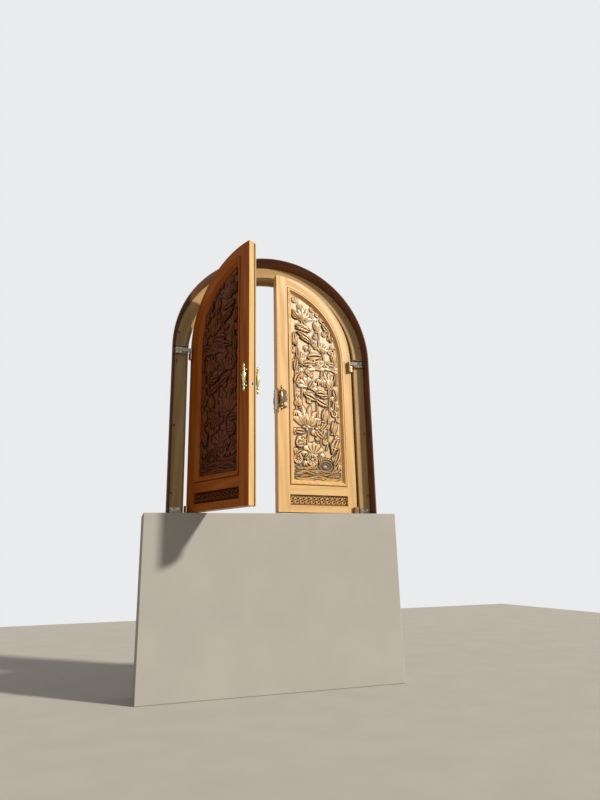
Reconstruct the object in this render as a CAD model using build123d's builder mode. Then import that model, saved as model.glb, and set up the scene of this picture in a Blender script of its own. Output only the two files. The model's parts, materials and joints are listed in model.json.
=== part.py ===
from build123d import *
from math import acos, cos, degrees, radians, sin, sqrt
import os

# Carved temple door: a round-arched pair of carved leaves hung in its own frame.
# The origin is on the sill, on the centre line, level with the closed leaves' outer faces.
# X runs to the right, Y runs in through the doorway and Z runs up. Lengths are millimetres.
# Each leaf piece is drawn on the right leaf as if closed, then mirrored and swung to its place.

# Doorway and leaves
leaf_reach = 750.0          # centre line to a leaf's hinge edge, and radius of its head
spring_height = 1378.0      # sill to the centre of the arch
leaf_thick = 80.0
edge_gap = 2.0              # centre line to the front corner of a meeting edge
edge_bevel = 6.5            # how far a meeting edge falls away through the thickness
sill_gap = 8.0
right_ajar = 9.3            # degrees that the right leaf stands open
left_open = 60.6            # degrees that the left leaf stands open
hinge_inset = 30.0          # hinge edge to the hinge axis
hinge_out = 18.0            # leaf face to the hinge axis

# Frame
frame_gap = 10.0            # hinge edge to the frame
frame_proud = 15.0          # frame face in front of the leaf faces
frame_wide = 95.0
arris_round = 4.0
stop_gap = 6.0              # room behind the leaf for its back corner as it swings
stop_thick = 22.0
stop_lip = 25.0             # how far the stop reaches in behind the leaf

# Lining around the frame
lining_thick = 14.0
lining_forward = 75.0       # how far the lining stands out past the frame face
lining_splay = 18.0         # how far it leans outward over that depth, at the jambs
lining_rise = 56.0          # the same at the crown
lining_round = 5.0

# Fixing holes through the frame
fixing_inset = 13.0         # frame's outer side to a hole's centre
fixing_heights = (160.0, 713.0, 1266.0)
fixing_angles = (10.2, 45.6)
fixing_r = 5.5
fixing_head_r = 10.0
fixing_head_deep = 8.0

# Leaf members
stile_wide = 90.0
meeting_wide = 107.0
bottom_rail_high = 60.0
fret_high = 86.0
mid_rail_high = 79.0
tenon_thick = 26.0
tenon_long = 40.0
tenon_shoulder = 12.0
tenon_play = 1.0
spring_tenon_wide = 52.0

# Panel and its moulding
ground_deep = 22.0          # leaf face to the carved ground
panel_thick = 30.0
tongue_thick = 14.0
tongue_long = 10.0
tongue_back = 8.0           # carved ground to the front of the tongue
tongue_play = 1.0
quirk = 7.0                 # sunk line between the members and the moulding
moulding_wide = 39.0
moulding_flat = 13.0        # flat part of the moulding, outside its slope
moulding_proud = 6.0
moulding_round = 3.0
step_high = 4.0             # low fillet that the slope dies into
step_wide = 5.0
relief = (6.0, 10.0, 14.0)  # heights of the three layers of carving over the ground
vein = 5.0                  # width of a sunk vein
stem_wide = 8.0

# Fret panel
fret_deep = 15.0
fret_relief = 7.0
fret_repeats = 12
fret_margin = 5.0
fret_bar_wide = 6.0
fret_bar_long = 62.0
fret_slant = 24.0           # degrees that a bar leans
fret_lozenge = 14.0
fret_rise = 17.0            # middle of the fret to the middle of a lozenge

# Hinge hardware
pin_r = 6.0
pin_play = 0.06
pin_head_r = 9.0
pin_head_high = 5.0
barrel_r = 14.0
leg_thick = 5.0
edge_plate_deep = 62.0
edge_screw_shares = ((0.3, 0.25), (0.3, 0.75), (0.75, 0.5))  # places in depth and height
knuckle_drop = 90.0         # centre of the arch down to an upper knuckle's foot
knuckle_high = 60.0
knuckle_gap = 2.0           # knuckle's top to the bracket's boss
pin_tail = 4.0
boss_r = 16.0
boss_high = 32.0
arm_thick = 20.0
channel_wide = 88.0
channel_high = 72.0
channel_deep = 22.0
channel_wall = 4.0
bracket_screw_shares = (0.5, 0.85)  # places of the screws across the channel
arm_root = 32.0             # how far the arm is let in to the channel
arm_clear = 1.5             # arm to the frame's rounded arris
pivot_foot_thick = 6.0
pivot_foot_clear = 2.0      # foot to the frame's inner edge
pivot_leg_high = 50.0
pivot_screw_height = 35.0
pivot_screw_shares = (0.25, 0.75)
pivot_shoulder_r = 12.0
pivot_pin_high = 36.0
pivot_play = 0.3
low_knuckle_foot = 10.0
low_knuckle_high = 50.0
screw_r = 2.5
screw_head_r = 5.0
screw_head_high = 2.5
screw_long = 28.0
screw_play = 0.1

# Plates, pulls and lock
plate_mid = 54.0            # centre line to the middle of a plate
plate_height = 965.0
plate_wide = 84.0
plate_high = 184.0
plate_thick = 5.0
plate_tip = 22.0            # side of the square whose corner makes a plate's point
plate_body_high = 149.5
lobe_r = 15.0
side_lobe_pitch = 33.0
corner_lobe_pitch = (28.5, 136.0)
pull_mid = 26.0
pull_out = 30.0             # leaf face to the axis of a pull
pull_long = 225.0
pull_belly_r = 14.0
pull_neck_r = 7.5
pull_ring_r = 12.0
pull_ring_high = 11.0
pull_posts = 64.0           # middle of the pull to each post
pull_post_r = 5.5
pull_bulb_r = 9.5
pull_bulb_height = 92.0     # middle of the pull to the widest part of its bulb
pull_bulb_round = 8.0
pull_waist_r = 6.0          # between a ring and its bulb
pull_tip_r = 3.0
pull_stud_r = 3.0
lock_mid = 77.0
lock_drop = 44.0            # middle of a plate down to the lock's cylinder
cylinder_r = 8.5
cylinder_play = 0.2
rose_r = 19.0
rose_thick = 4.0
plug_r = 5.0
plug_play = 0.05
turn_play = 0.4
key_slot_wide = 1.8
key_slot_high = 7.0
turn_r = 15.0
turn_thick = 6.0
turn_grip = 14.0
case_reach = 95.0           # centre line to the back of the lock case
case_thick = 20.0
case_high = 140.0
case_play = 1.0
forend_thick = 3.0
forend_wide = 24.0
forend_high = 170.0
forend_in = 6.3             # centre line to the outer face of the forend
bolt_thick = 12.0
bolt_high = 20.0
bolt_long = 53.0
bolt_play = 0.3
strike_high = 60.0
strike_pocket = 12.0
seal_thick = 8.0
seal_deep = 12.0
seal_proud = 3.0
seal_back = 22.0            # leaf's back to the far side of the seal

# Surface bolts on the left leaf's inner face
rod_mid = 55.0
rod_r = 6.0
rod_play = 0.08
rod_out = 16.0              # leaf's back to the axis of a rod
rod_long = 240.0
rod_head_gap = 5.0          # head of the drawn top rod to the stop
rod_foot_gap = 6.0          # sill to the foot of the drawn bottom rod
guide_plate_thick = 3.0
guide_plate_wide = 36.0
guide_plate_long = 200.0
guide_plate_in = 12.0       # working end of a rod to the near end of its plate
guide_screw_shares = (0.3, 0.7)
guide_inset = 22.0          # end of the guide plate to the middle of its end guide
guide_r = 11.0
guide_high = 18.0
knob_r = 5.0
knob_long = 20.0
keeper_r = 7.5
keeper_deep = 30.0

# Worked out from the sizes above
frame_inner = leaf_reach + frame_gap
frame_outer = frame_inner + frame_wide
frame_back = leaf_thick + stop_gap + stop_thick
stop_inner = frame_inner - stop_lip
axis_x = leaf_reach - hinge_inset
meeting_inner = edge_gap + meeting_wide
stile_inner = leaf_reach - stile_wide
fret_foot = sill_gap + bottom_rail_high
mid_foot = fret_foot + fret_high
field_foot = mid_foot + mid_rail_high
ground_y = Plane.XZ.offset(-ground_deep)
field_inset = quirk + moulding_wide
arch_axis = Axis((0, 0, spring_height), (0, -1, 0))
right_hinge = Axis((axis_x, -hinge_out, 0), (0, 0, 1))
left_hinge = Axis((-axis_x, -hinge_out, 0), (0, 0, 1))
knuckle_foot = spring_height - knuckle_drop
boss_foot = knuckle_foot + knuckle_high + knuckle_gap
boss_mid = boss_foot + boss_high / 2
channel_inner = frame_inner + arris_round
channel_outer = channel_inner + channel_wide
tenon_front = (leaf_thick - tenon_thick) / 2
stop_front = leaf_thick + stop_gap
stud_deep = screw_long - plate_thick
lock_height = plate_height - lock_drop
leaf_middle = Plane.XZ.offset(-leaf_thick / 2)
plate_screw_places = [
    (plate_mid + side * (plate_wide / 2 - lobe_r), plate_height + end * side_lobe_pitch)
    for side, end in ((-1, -1), (-1, 1), (1, 1))
]
pull_stud_places = [(pull_mid, plate_height - pull_posts), (pull_mid, plate_height + pull_posts)]
bracket_face = Plane.XZ.offset(frame_proud + channel_wall)
bracket_screw_places = [
    (channel_inner + channel_wide * share, boss_mid + rise)
    for share in bracket_screw_shares for rise in (-channel_high / 4, channel_high / 4)
]
pivot_screw_places = [
    (channel_inner + channel_wide * share, pivot_screw_height) for share in pivot_screw_shares
]

# Working end of each surface bolt when drawn back, and the way its body runs from there
rod_ends = (
    (spring_height + sqrt(stop_inner ** 2 - rod_mid ** 2) - rod_head_gap, -1), (rod_foot_gap, 1),
)

os.makedirs("parts", exist_ok=True)


def save(piece, name):
    piece.label = name
    export_step(piece, "parts/" + name + ".step")


def save_frame_pair(piece, name):
    """Write a fixed piece for the right side and its mirror image for the left."""
    save(piece, name + "_right")
    save(mirror(piece, about=Plane.YZ), name + "_left")


def save_on_right(piece, name):
    """Swing a right-leaf piece to where the leaf stands."""
    save(piece.rotate(right_hinge, right_ajar), name)


def save_on_left(piece, name):
    """Mirror a piece on to the left leaf and swing it to where that leaf stands."""
    save(mirror(piece, about=Plane.YZ).rotate(left_hinge, -left_open), name)


def save_leaf_pair(piece, name):
    save_on_right(piece, "right_" + name)
    save_on_left(piece, "left_" + name)


def arc_top(radius, x):
    """Height of a circle about the arch's centre, above the point x along the sill."""
    return spring_height + sqrt(radius ** 2 - x ** 2)


# Frame: a flat face with a rounded inner arris, rebated for the leaf, with a stop behind it

def frame_section():
    """Plan of the frame on the right side."""
    with BuildSketch() as section:
        with BuildLine():
            Polyline(
                (frame_inner, -frame_proud), (frame_outer, -frame_proud), (frame_outer, frame_back),
                (stop_inner, frame_back), (stop_inner, stop_front), (frame_inner, stop_front),
                close=True,
            )
        make_face()
        fillet(section.vertices().group_by(Axis.Y)[0].sort_by(Axis.X)[0], arris_round)
    return section.sketch


def cut_fixing_holes(places):
    """Counterbored holes through the frame, at points on its face."""
    with Locations(*[Location((x, -frame_proud, z), (90, 0, 0)) for x, z in places]):
        CounterBoreHole(fixing_r, fixing_head_r, fixing_head_deep, depth=frame_back + frame_proud)


def cut_bracket_pilots():
    """Holes in the frame for the screws of the upper bracket and the lower pivot."""
    with BuildSketch(Plane.XZ.offset(frame_proud)) as pilots:
        with Locations(*bracket_screw_places, *pivot_screw_places):
            Circle(screw_r + screw_play)
    extrude(pilots.sketch, amount=-(screw_long - channel_wall), mode=Mode.SUBTRACT)


with BuildPart() as frame_jamb:
    with BuildSketch(Plane.XY):
        add(frame_section())
    extrude(amount=spring_height)
    cut_fixing_holes([(frame_outer - fixing_inset, height) for height in fixing_heights])
    cut_bracket_pilots()
save_frame_pair(frame_jamb.part, "frame_jamb")

with BuildPart() as frame_arch:
    with BuildSketch(Plane.XY.offset(spring_height)):
        add(frame_section())
    revolve(axis=arch_axis, revolution_arc=90)
    fixing_radius = frame_outer - fixing_inset
    cut_fixing_holes([
        (fixing_radius * cos(radians(angle)), spring_height + fixing_radius * sin(radians(angle)))
        for angle in fixing_angles
    ])
    cut_bracket_pilots()
save(frame_arch.part, "frame_arch_right")

with BuildPart() as frame_arch_left:
    mirror(frame_arch.part, about=Plane.YZ)
    with BuildSketch(Plane.XY.offset(spring_height)):
        with Locations((-rod_mid, leaf_thick + rod_out)):
            Circle(keeper_r)
    extrude(amount=arc_top(stop_inner, rod_mid) + keeper_deep - spring_height, mode=Mode.SUBTRACT)
save(frame_arch_left.part, "frame_arch_left")


# Lining: a thin casing on the frame's outer side that flares forward to a rounded nose

with BuildPart() as lining_jamb:
    with BuildSketch(Plane.XY) as section:
        with BuildLine():
            Polyline(
                (frame_outer, frame_back),
                (frame_outer, -frame_proud),
                (frame_outer + lining_splay, -frame_proud - lining_forward),
                (frame_outer + lining_splay + lining_thick, -frame_proud - lining_forward),
                (frame_outer + lining_thick, -frame_proud),
                (frame_outer + lining_thick, frame_back),
                close=True,
            )
        make_face()
        fillet(section.vertices().group_by(Axis.Y)[0], lining_round)
    extrude(amount=spring_height)
save_frame_pair(lining_jamb.part, "lining_jamb")


def ring_quarter(inner, inner_rise, thickness):
    """A quarter of a ring about the arch's centre, circular or drawn upward."""
    centre = (0, spring_height)
    with BuildSketch() as ring:
        with BuildLine():
            low = EllipticalCenterArc(centre, inner, inner_rise, arc_size=90)
            high = EllipticalCenterArc(centre, inner + thickness, inner_rise + thickness, arc_size=90)
            Line(low @ 0, high @ 0)
            Line(low @ 1, high @ 1)
        make_face()
    return ring.sketch


with BuildPart() as lining_arch:
    with BuildSketch(Plane.XZ.offset(-frame_back)):
        add(ring_quarter(frame_outer, frame_outer, lining_thick))
    extrude(amount=frame_back + frame_proud)
    with BuildSketch(Plane.XZ.offset(frame_proud)):
        add(ring_quarter(frame_outer, frame_outer, lining_thick))
    with BuildSketch(Plane.XZ.offset(frame_proud + lining_forward)):
        add(ring_quarter(frame_outer + lining_splay, frame_outer + lining_rise, lining_thick))
    loft(ruled=True)
    nose = lining_arch.edges().group_by(Axis.Y)[0].sort_by(SortBy.LENGTH)[-2:]
    fillet(nose, lining_round)
save_frame_pair(lining_arch.part, "lining_arch")


# Upper hinge bracket: a channel screwed to the frame's face, with an arm out to the hinge axis

channel_foot = boss_mid - channel_high / 2

with BuildPart() as upper_bracket:
    with BuildSketch(Plane.YZ.offset(channel_inner)):
        with BuildLine():
            Polyline(
                (-frame_proud, channel_foot), (-frame_proud - channel_deep, channel_foot),
                (-frame_proud - channel_deep, channel_foot + channel_wall),
                (-frame_proud - channel_wall, channel_foot + channel_wall),
                (-frame_proud - channel_wall, channel_foot + channel_high - channel_wall),
                (-frame_proud - channel_deep, channel_foot + channel_high - channel_wall),
                (-frame_proud - channel_deep, channel_foot + channel_high),
                (-frame_proud, channel_foot + channel_high),
                close=True,
            )
        make_face()
    extrude(amount=channel_wide)
    with BuildSketch(Plane.XY.offset(boss_foot)):
        with Locations((axis_x, -hinge_out)):
            Circle(boss_r)
        with BuildLine():
            Polyline(
                (axis_x, -hinge_out - arm_thick / 2),
                (channel_inner + arm_root, -hinge_out - arm_thick / 2),
                (channel_inner + arm_root, -frame_proud), (channel_inner, -frame_proud),
                (channel_inner, -frame_proud - arm_clear),
                (leaf_reach, -hinge_out + arm_thick / 2), (axis_x, -hinge_out + arm_thick / 2),
                close=True,
            )
        make_face()
    extrude(amount=boss_high)
    with BuildSketch(Plane.XY.offset(boss_foot)):
        with Locations((axis_x, -hinge_out)):
            Circle(pin_r + pin_play)
    extrude(amount=boss_high, mode=Mode.SUBTRACT)
    with BuildSketch(Plane.XZ.offset(frame_proud + channel_deep)):
        with Locations(*bracket_screw_places):
            Circle(screw_r + screw_play)
    extrude(amount=-channel_deep, mode=Mode.SUBTRACT)
save_frame_pair(upper_bracket.part, "upper_bracket")

with BuildPart() as upper_pin:
    with BuildSketch(Plane.XZ.offset(hinge_out)) as half:
        with BuildLine():
            Polyline(
                (axis_x, knuckle_foot - pin_tail), (axis_x + pin_r, knuckle_foot - pin_tail),
                (axis_x + pin_r, boss_foot + boss_high), (axis_x + pin_head_r, boss_foot + boss_high),
                (axis_x + pin_head_r, boss_foot + boss_high + pin_head_high),
                (axis_x, boss_foot + boss_high + pin_head_high),
                close=True,
            )
        make_face()
        chamfer(half.vertices().group_by(Axis.Z)[-1].sort_by(Axis.X)[-1], pin_head_high / 2)
    revolve(axis=Axis((axis_x, -hinge_out, 0), (0, 0, 1)))
save_frame_pair(upper_pin.part, "upper_pin")


# Lower pivot: a shoe on the sill with a shouldered pin for the leaf to stand on

pin_top = low_knuckle_foot + pivot_pin_high
with BuildPart() as lower_pivot:
    with BuildSketch(Plane.XY):
        with Locations((axis_x, -hinge_out)):
            Circle(hinge_out)
        with BuildLine():
            Polyline(
                (axis_x, -hinge_out * 2), (channel_outer, -hinge_out * 2),
                (channel_outer, -frame_proud), (frame_inner - pivot_foot_clear, -frame_proud),
                (frame_inner - pivot_foot_clear, 0), (axis_x, 0), close=True,
            )
        make_face()
    extrude(amount=pivot_foot_thick)
    with BuildSketch(Plane.XZ.offset(frame_proud)):
        with Locations((channel_inner + channel_wide / 2, pivot_leg_high / 2)):
            Rectangle(channel_wide, pivot_leg_high)
    extrude(amount=channel_wall)
    with BuildSketch(Plane.XY):
        with Locations((axis_x, -hinge_out)):
            Circle(pivot_shoulder_r)
    extrude(amount=low_knuckle_foot - pivot_play)
    with BuildSketch(Plane.XY):
        with Locations((axis_x, -hinge_out)):
            Circle(pin_r)
    extrude(amount=pin_top)
    chamfer(lower_pivot.faces().sort_by(Axis.Z)[-1].edges(), pin_r / 4)
    with BuildSketch(bracket_face):
        with Locations(*pivot_screw_places):
            Circle(screw_r + screw_play)
    extrude(amount=-channel_wall, mode=Mode.SUBTRACT)
save_frame_pair(lower_pivot.part, "lower_pivot")


def screws(places, plane):
    """Round-headed screws whose heads sit on a plane and whose shanks run in behind it."""
    with BuildSketch(plane) as heads:
        with Locations(*places):
            Circle(screw_head_r)
    extrude(heads.sketch, amount=screw_head_high)
    with BuildSketch(plane) as shanks:
        with Locations(*places):
            Circle(screw_r)
    extrude(shanks.sketch, amount=-screw_long)


with BuildPart() as bracket_screws:
    screws(bracket_screw_places + pivot_screw_places, bracket_face)
    mirror(about=Plane.YZ)
save(bracket_screws.part, "bracket_screws")


# Outlines shared by the leaf members, the panel and its moulding

def arched_field(inset):
    """The arched opening between the members, drawn in by an inset all round."""
    left, right, foot = meeting_inner + inset, stile_inner - inset, field_foot + inset
    with BuildSketch() as field:
        with BuildLine():
            sides = Polyline((left, foot), (right, foot), (right, spring_height))
            head = CenterArc((0, spring_height), right, 0, degrees(acos(left / right)))
            Line(head @ 1, sides @ 0)
        make_face()
    return field.sketch


def fret_field(inset):
    """The low opening near the foot, drawn in by an inset all round."""
    with BuildSketch() as field:
        with Locations(((meeting_inner + stile_inner) / 2, (fret_foot + mid_foot) / 2)):
            Rectangle(stile_inner - meeting_inner - inset * 2, fret_high - inset * 2)
    return field.sketch


def cut_panel_grooves():
    """Grooves for the tongues of both panels."""
    with BuildSketch(Plane.XZ.offset(-ground_deep - tongue_back)) as grooves:
        add(arched_field(-tongue_long - tongue_play))
        add(fret_field(-tongue_long - tongue_play))
    extrude(grooves.sketch, amount=-tongue_thick, mode=Mode.SUBTRACT)


def rail_tenons(foot, height, play=0.0):
    """Outlines of the tenons at a rail's ends, as seen from the front."""
    reach = tenon_long + play
    middle = foot + height / 2
    with Locations((meeting_inner - reach / 2, middle), (stile_inner + reach / 2, middle)):
        Rectangle(reach, height - tenon_shoulder * 2)


head_tenon_height = arc_top(leaf_reach - stile_wide / 2, meeting_inner)


def head_tenons(play=0.0):
    """Outlines of the tenons at the two ends of the curved rail."""
    reach = tenon_long + play
    with Locations((leaf_reach - stile_wide / 2, spring_height - reach / 2)):
        Rectangle(spring_tenon_wide, reach)
    with Locations((meeting_inner - reach / 2, head_tenon_height)):
        Rectangle(reach, tenon_long)


def cut_mortises():
    with BuildSketch(Plane.XZ.offset(-tenon_front)) as mortises:
        rail_tenons(sill_gap, bottom_rail_high, tenon_play)
        rail_tenons(mid_foot, mid_rail_high, tenon_play)
        head_tenons(tenon_play)
    extrude(mortises.sketch, amount=-tenon_thick, mode=Mode.SUBTRACT)


def knuckle_section():
    """Plan of a knuckle: its barrel, and its leg round the corner and along the hinge edge."""
    with BuildSketch() as section:
        with Locations((axis_x, -hinge_out)):
            Circle(barrel_r)
        with BuildLine():
            Polyline(
                (axis_x, -hinge_out - leg_thick), (leaf_reach, -hinge_out - leg_thick),
                (leaf_reach, edge_plate_deep), (leaf_reach - leg_thick, edge_plate_deep),
                (leaf_reach - leg_thick, -hinge_out), (axis_x, -hinge_out),
                close=True,
            )
        make_face()
    return section.sketch


knuckle_spans = ((knuckle_foot, knuckle_high), (low_knuckle_foot, low_knuckle_high))
edge_screw_places = [
    (edge_plate_deep * along, foot + height * up)
    for foot, height in knuckle_spans for along, up in edge_screw_shares
]

with BuildPart() as hinge_stile:
    with BuildSketch(Plane.XZ):
        with BuildLine():
            Polyline(
                (stile_inner, sill_gap), (leaf_reach, sill_gap), (leaf_reach, spring_height),
                (stile_inner, spring_height), close=True,
            )
        make_face()
    extrude(amount=-leaf_thick)
    cut_panel_grooves()
    cut_mortises()
    with BuildSketch(Plane.YZ.offset(leaf_reach)):
        for foot, height in knuckle_spans:
            with Locations((edge_plate_deep / 2, foot + height / 2)):
                Rectangle(edge_plate_deep, height)
    extrude(amount=-leg_thick, mode=Mode.SUBTRACT)
    with BuildSketch(Plane.YZ.offset(leaf_reach)):
        with Locations(*edge_screw_places):
            Circle(screw_r + screw_play)
    extrude(amount=-screw_long - screw_play, mode=Mode.SUBTRACT)
save_leaf_pair(hinge_stile.part, "hinge_stile")

with BuildPart() as meeting_stile:
    with BuildSketch(Plane.XZ):
        with BuildLine():
            sides = Polyline(
                (edge_gap, arc_top(leaf_reach, edge_gap)), (edge_gap, sill_gap), (meeting_inner, sill_gap),
                (meeting_inner, arc_top(leaf_reach, meeting_inner)),
            )
            CenterArc(
                (0, spring_height), leaf_reach, degrees(acos(meeting_inner / leaf_reach)),
                degrees(acos(edge_gap / leaf_reach) - acos(meeting_inner / leaf_reach)),
            )
        make_face()
    extrude(amount=-leaf_thick)
    with BuildSketch(Plane.XY):
        with BuildLine():
            Polyline(
                (edge_gap, 0), (edge_gap + edge_bevel, leaf_thick), (edge_gap, leaf_thick), close=True
            )
        make_face()
    extrude(amount=arc_top(leaf_reach, 0), mode=Mode.SUBTRACT)
    cut_panel_grooves()
    cut_mortises()
bare_meeting_stile = meeting_stile.part

with BuildPart() as arch_rail:
    with BuildSketch(Plane.XZ):
        with BuildLine():
            outer = CenterArc(
                (0, spring_height), leaf_reach, 0, degrees(acos(meeting_inner / leaf_reach))
            )
            inner = CenterArc(
                (0, spring_height), stile_inner, 0, degrees(acos(meeting_inner / stile_inner))
            )
            Line(inner @ 0, outer @ 0)
            Line(inner @ 1, outer @ 1)
        make_face()
    extrude(amount=-leaf_thick)
    with BuildSketch(Plane.XZ.offset(-tenon_front)):
        head_tenons()
    extrude(amount=-tenon_thick)
    cut_panel_grooves()
save_leaf_pair(arch_rail.part, "arch_rail")


def rail(foot, height):
    """A straight rail with a tenon at each end."""
    with BuildPart() as made:
        with BuildSketch(Plane.XZ):
            with Locations(((meeting_inner + stile_inner) / 2, foot + height / 2)):
                Rectangle(stile_inner - meeting_inner, height)
        extrude(amount=-leaf_thick)
        with BuildSketch(Plane.XZ.offset(-tenon_front)):
            rail_tenons(foot, height)
        extrude(amount=-tenon_thick)
        cut_panel_grooves()
    return made.part


save_leaf_pair(rail(mid_foot, mid_rail_high), "mid_rail")
save_leaf_pair(rail(sill_gap, bottom_rail_high), "bottom_rail")


# Moulding: a raised border that slopes down to a low step beside the carving

with BuildPart() as panel_moulding:
    with BuildSketch(ground_y):
        add(arched_field(quirk))
    extrude(amount=ground_deep + moulding_proud)
    rim = panel_moulding.faces().sort_by(Axis.Y)[0].edges()
    fillet(rim, moulding_round)
    with BuildSketch(Plane.XZ.offset(moulding_proud)):
        add(arched_field(quirk + moulding_flat))
    with BuildSketch(Plane.XZ.offset(step_high - ground_deep)):
        add(arched_field(field_inset - step_wide))
    loft(ruled=True, mode=Mode.SUBTRACT)
    with BuildSketch(ground_y):
        add(arched_field(field_inset))
    extrude(amount=step_high, mode=Mode.SUBTRACT)
save_leaf_pair(panel_moulding.part, "panel_moulding")


# Carving: lotus flowers, buds, leaves and stems over rippled water, in three stacked layers.
# Places are millimetres right of the centre line and above the leaf's foot.

def petal(x, z, length, width, heading):
    """A pointed petal from its base, leaning from upright by its heading."""
    lean = radians(heading)
    base = Vector(x, sill_gap + z)
    out = Vector(sin(lean), cos(lean)) * length
    side = Vector(cos(lean), -sin(lean)) * width / 2
    with BuildSketch() as shape:
        with BuildLine():
            ThreePointArc(base, base + out / 2 + side, base + out)
            ThreePointArc(base + out, base + out / 2 - side, base)
        make_face()
    return shape.sketch


def petal_fan(x, z, length, width, heading, spread, count):
    """Petals fanned about a heading, shorter towards the sides."""
    shares = [2 * step / (count - 1) - 1 for step in range(count)]
    return [
        petal(x, z, length * (1 - side_petal * abs(share)), width, heading + spread * share)
        for share in shares
    ]


def stem(points):
    """A band of even width along an arc through three points."""
    with BuildSketch() as shape:
        with BuildLine():
            ThreePointArc(*[(x, sill_gap + z) for x, z in points])
        trace(line_width=stem_wide)
    return shape.sketch


def groove(start, end):
    """A straight sunk vein."""
    with BuildSketch() as shape:
        with BuildLine():
            Line((start[0], sill_gap + start[1]), (end[0], sill_gap + end[1]))
        trace(line_width=vein)
    return shape.sketch


def disc(x, z, wide):
    with BuildSketch() as shape:
        with Locations((x, sill_gap + z)):
            Circle(wide / 2)
    return shape.sketch


def knot(x, z, wide):
    """A small faceted swelling."""
    with BuildSketch() as shape:
        with Locations((x, sill_gap + z)):
            RegularPolygon(wide / 2, knot_sides)
    return shape.sketch


# base x, base z, length, petal width, heading, half spread, petals
back_fans = (
    (262, 1722, 138, 48, 16, 66, 4),
    (458, 1440, 92, 36, 10, 66, 3),
    (248, 1298, 120, 34, -14, 36, 2),
    (512, 1104, 156, 46, -6, 40, 3),
    (284, 738, 200, 62, 0, 66, 4),
)
front_fans = (
    (262, 1722, 108, 44, 18, 44, 2),
    (512, 1104, 124, 42, -6, 22, 2),
    (284, 738, 164, 60, 2, 42, 2),
)
top_petals = (
    (262, 1722, 100, 58, 6), (458, 1440, 66, 34, 8), (250, 1298, 106, 26, 2), (508, 1104, 116, 38, -4),
    (286, 738, 166, 74, 4),
)
buds = (
    (410, 1636, 112, 66, -2), (574, 1358, 100, 56, 2), (458, 796, 118, 58, 12), (548, 690, 116, 50, 6),
    (228, 905, 96, 54, -20),
)
# foot x, foot z, length, width, heading of folded leaves with a sunk midrib
leaves = (
    (200, 1640, 150, 76, 78), (204, 1600, 160, 44, 112), (552, 1656, 104, 52, 182),
    (302, 1378, 150, 56, 80), (268, 1024, 240, 52, 112), (580, 640, 140, 56, 204), (376, 716, 100, 44, 150),
    (596, 540, 150, 42, 196),
)
# centre x, centre z, width of round leaves with a sunk rib
round_leaves = (
    (392, 1304, 84), (300, 1130, 114), (546, 1300, 80), (342, 556, 120), (196, 450, 80),
)
stems = (
    ((425, 1640), (430, 1580), (424, 1530)),
    ((352, 1560), (328, 1470), (344, 1404)), ((462, 1430), (470, 1340), (440, 1220)),
    ((510, 1104), (514, 900), (488, 620)), ((388, 960), (392, 830), (384, 722)),
    ((284, 738), (298, 680), (286, 606)), ((428, 560), (420, 500), (428, 440)),
)
bud_heart = (0.8, 0.56)     # a bud's raised middle, as shares of its length and width
knot_sides = 7
calyx = (28.0, 22.0)        # swelling that the petals of a flower spring from, in two layers
side_petal = 0.22           # share of its length that the outermost petal of a fan loses
ripple_place = (460, 395)
ripple_sizes = (110,)
ripple_wide = 12.0
wave_heights = (284, 324)
wave_swell = 16.0
wave_wide = 14.0
wave_repeats = 3


def wave(height):
    """A line of water across the foot of the panel: arcs that rise and fall by turns."""
    step = (stile_inner - meeting_inner) / wave_repeats
    with BuildSketch() as shape:
        with BuildLine():
            for place in range(wave_repeats):
                start = Vector(meeting_inner + step * place, sill_gap + height)
                swell = wave_swell if place % 2 else -wave_swell
                ThreePointArc(start, start + Vector(step / 2, swell), start + Vector(step, 0))
        trace(line_width=wave_wide)
    return shape.sketch


def ripple(size):
    return disc(*ripple_place, size + ripple_wide) - disc(*ripple_place, size)


def leaf_rib(x, z, length, width, heading):
    lean = radians(heading)
    return groove((x, z), (x + length * sin(lean), z + length * cos(lean)))


def round_leaf_rib(x, z, wide):
    return groove((x - wide / 2, z - wide / 4), (x + wide / 2, z + wide / 4))


def heart(x, z, length, width, heading):
    """The raised middle of a bud, set in from its edge all round."""
    lean = radians(heading)
    start = length * (1 - bud_heart[0]) / 2
    return petal(
        x + start * sin(lean), z + start * cos(lean), length * bud_heart[0], width * bud_heart[1], heading
    )


low_layer = [
    *[knot(x, z, calyx[0]) for x, z, *rest in back_fans],
    *[piece for fan in back_fans for piece in petal_fan(*fan)],
    *[stem(points) for points in stems],
    *[wave(height) for height in wave_heights],
]
middle_layer = [
    *[knot(x, z, calyx[1]) for x, z, *rest in front_fans],
    *[piece for fan in front_fans for piece in petal_fan(*fan)],
    *[petal(*bud) for bud in buds],
    *[petal(*leaf) for leaf in leaves],
    *[disc(*leaf) for leaf in round_leaves],
    *[ripple(size) for size in ripple_sizes],
]
sunk_veins = [
    *[leaf_rib(*leaf) for leaf in leaves],
    *[round_leaf_rib(*leaf) for leaf in round_leaves],
]
top_layer = [
    *[petal(*flower) for flower in top_petals],
    *[heart(*bud) for bud in buds],
]

with BuildPart() as carved_panel:
    with BuildSketch(ground_y):
        add(arched_field(0))
    extrude(amount=-panel_thick)
    with BuildSketch(Plane.XZ.offset(-ground_deep - tongue_back)):
        add(arched_field(-tongue_long))
    extrude(amount=-tongue_thick)
    for height, layer, sunk in zip(relief, (low_layer, middle_layer, top_layer), ([], sunk_veins, [])):
        with BuildSketch(ground_y):
            add(layer)
            add(sunk, mode=Mode.SUBTRACT)
            add(arched_field(field_inset + step_wide / 2), mode=Mode.INTERSECT)
        extrude(amount=height)
save_leaf_pair(carved_panel.part, "carved_panel")


# Fret panel: slanting bars with a lozenge at each side, between two plain borders

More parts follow.
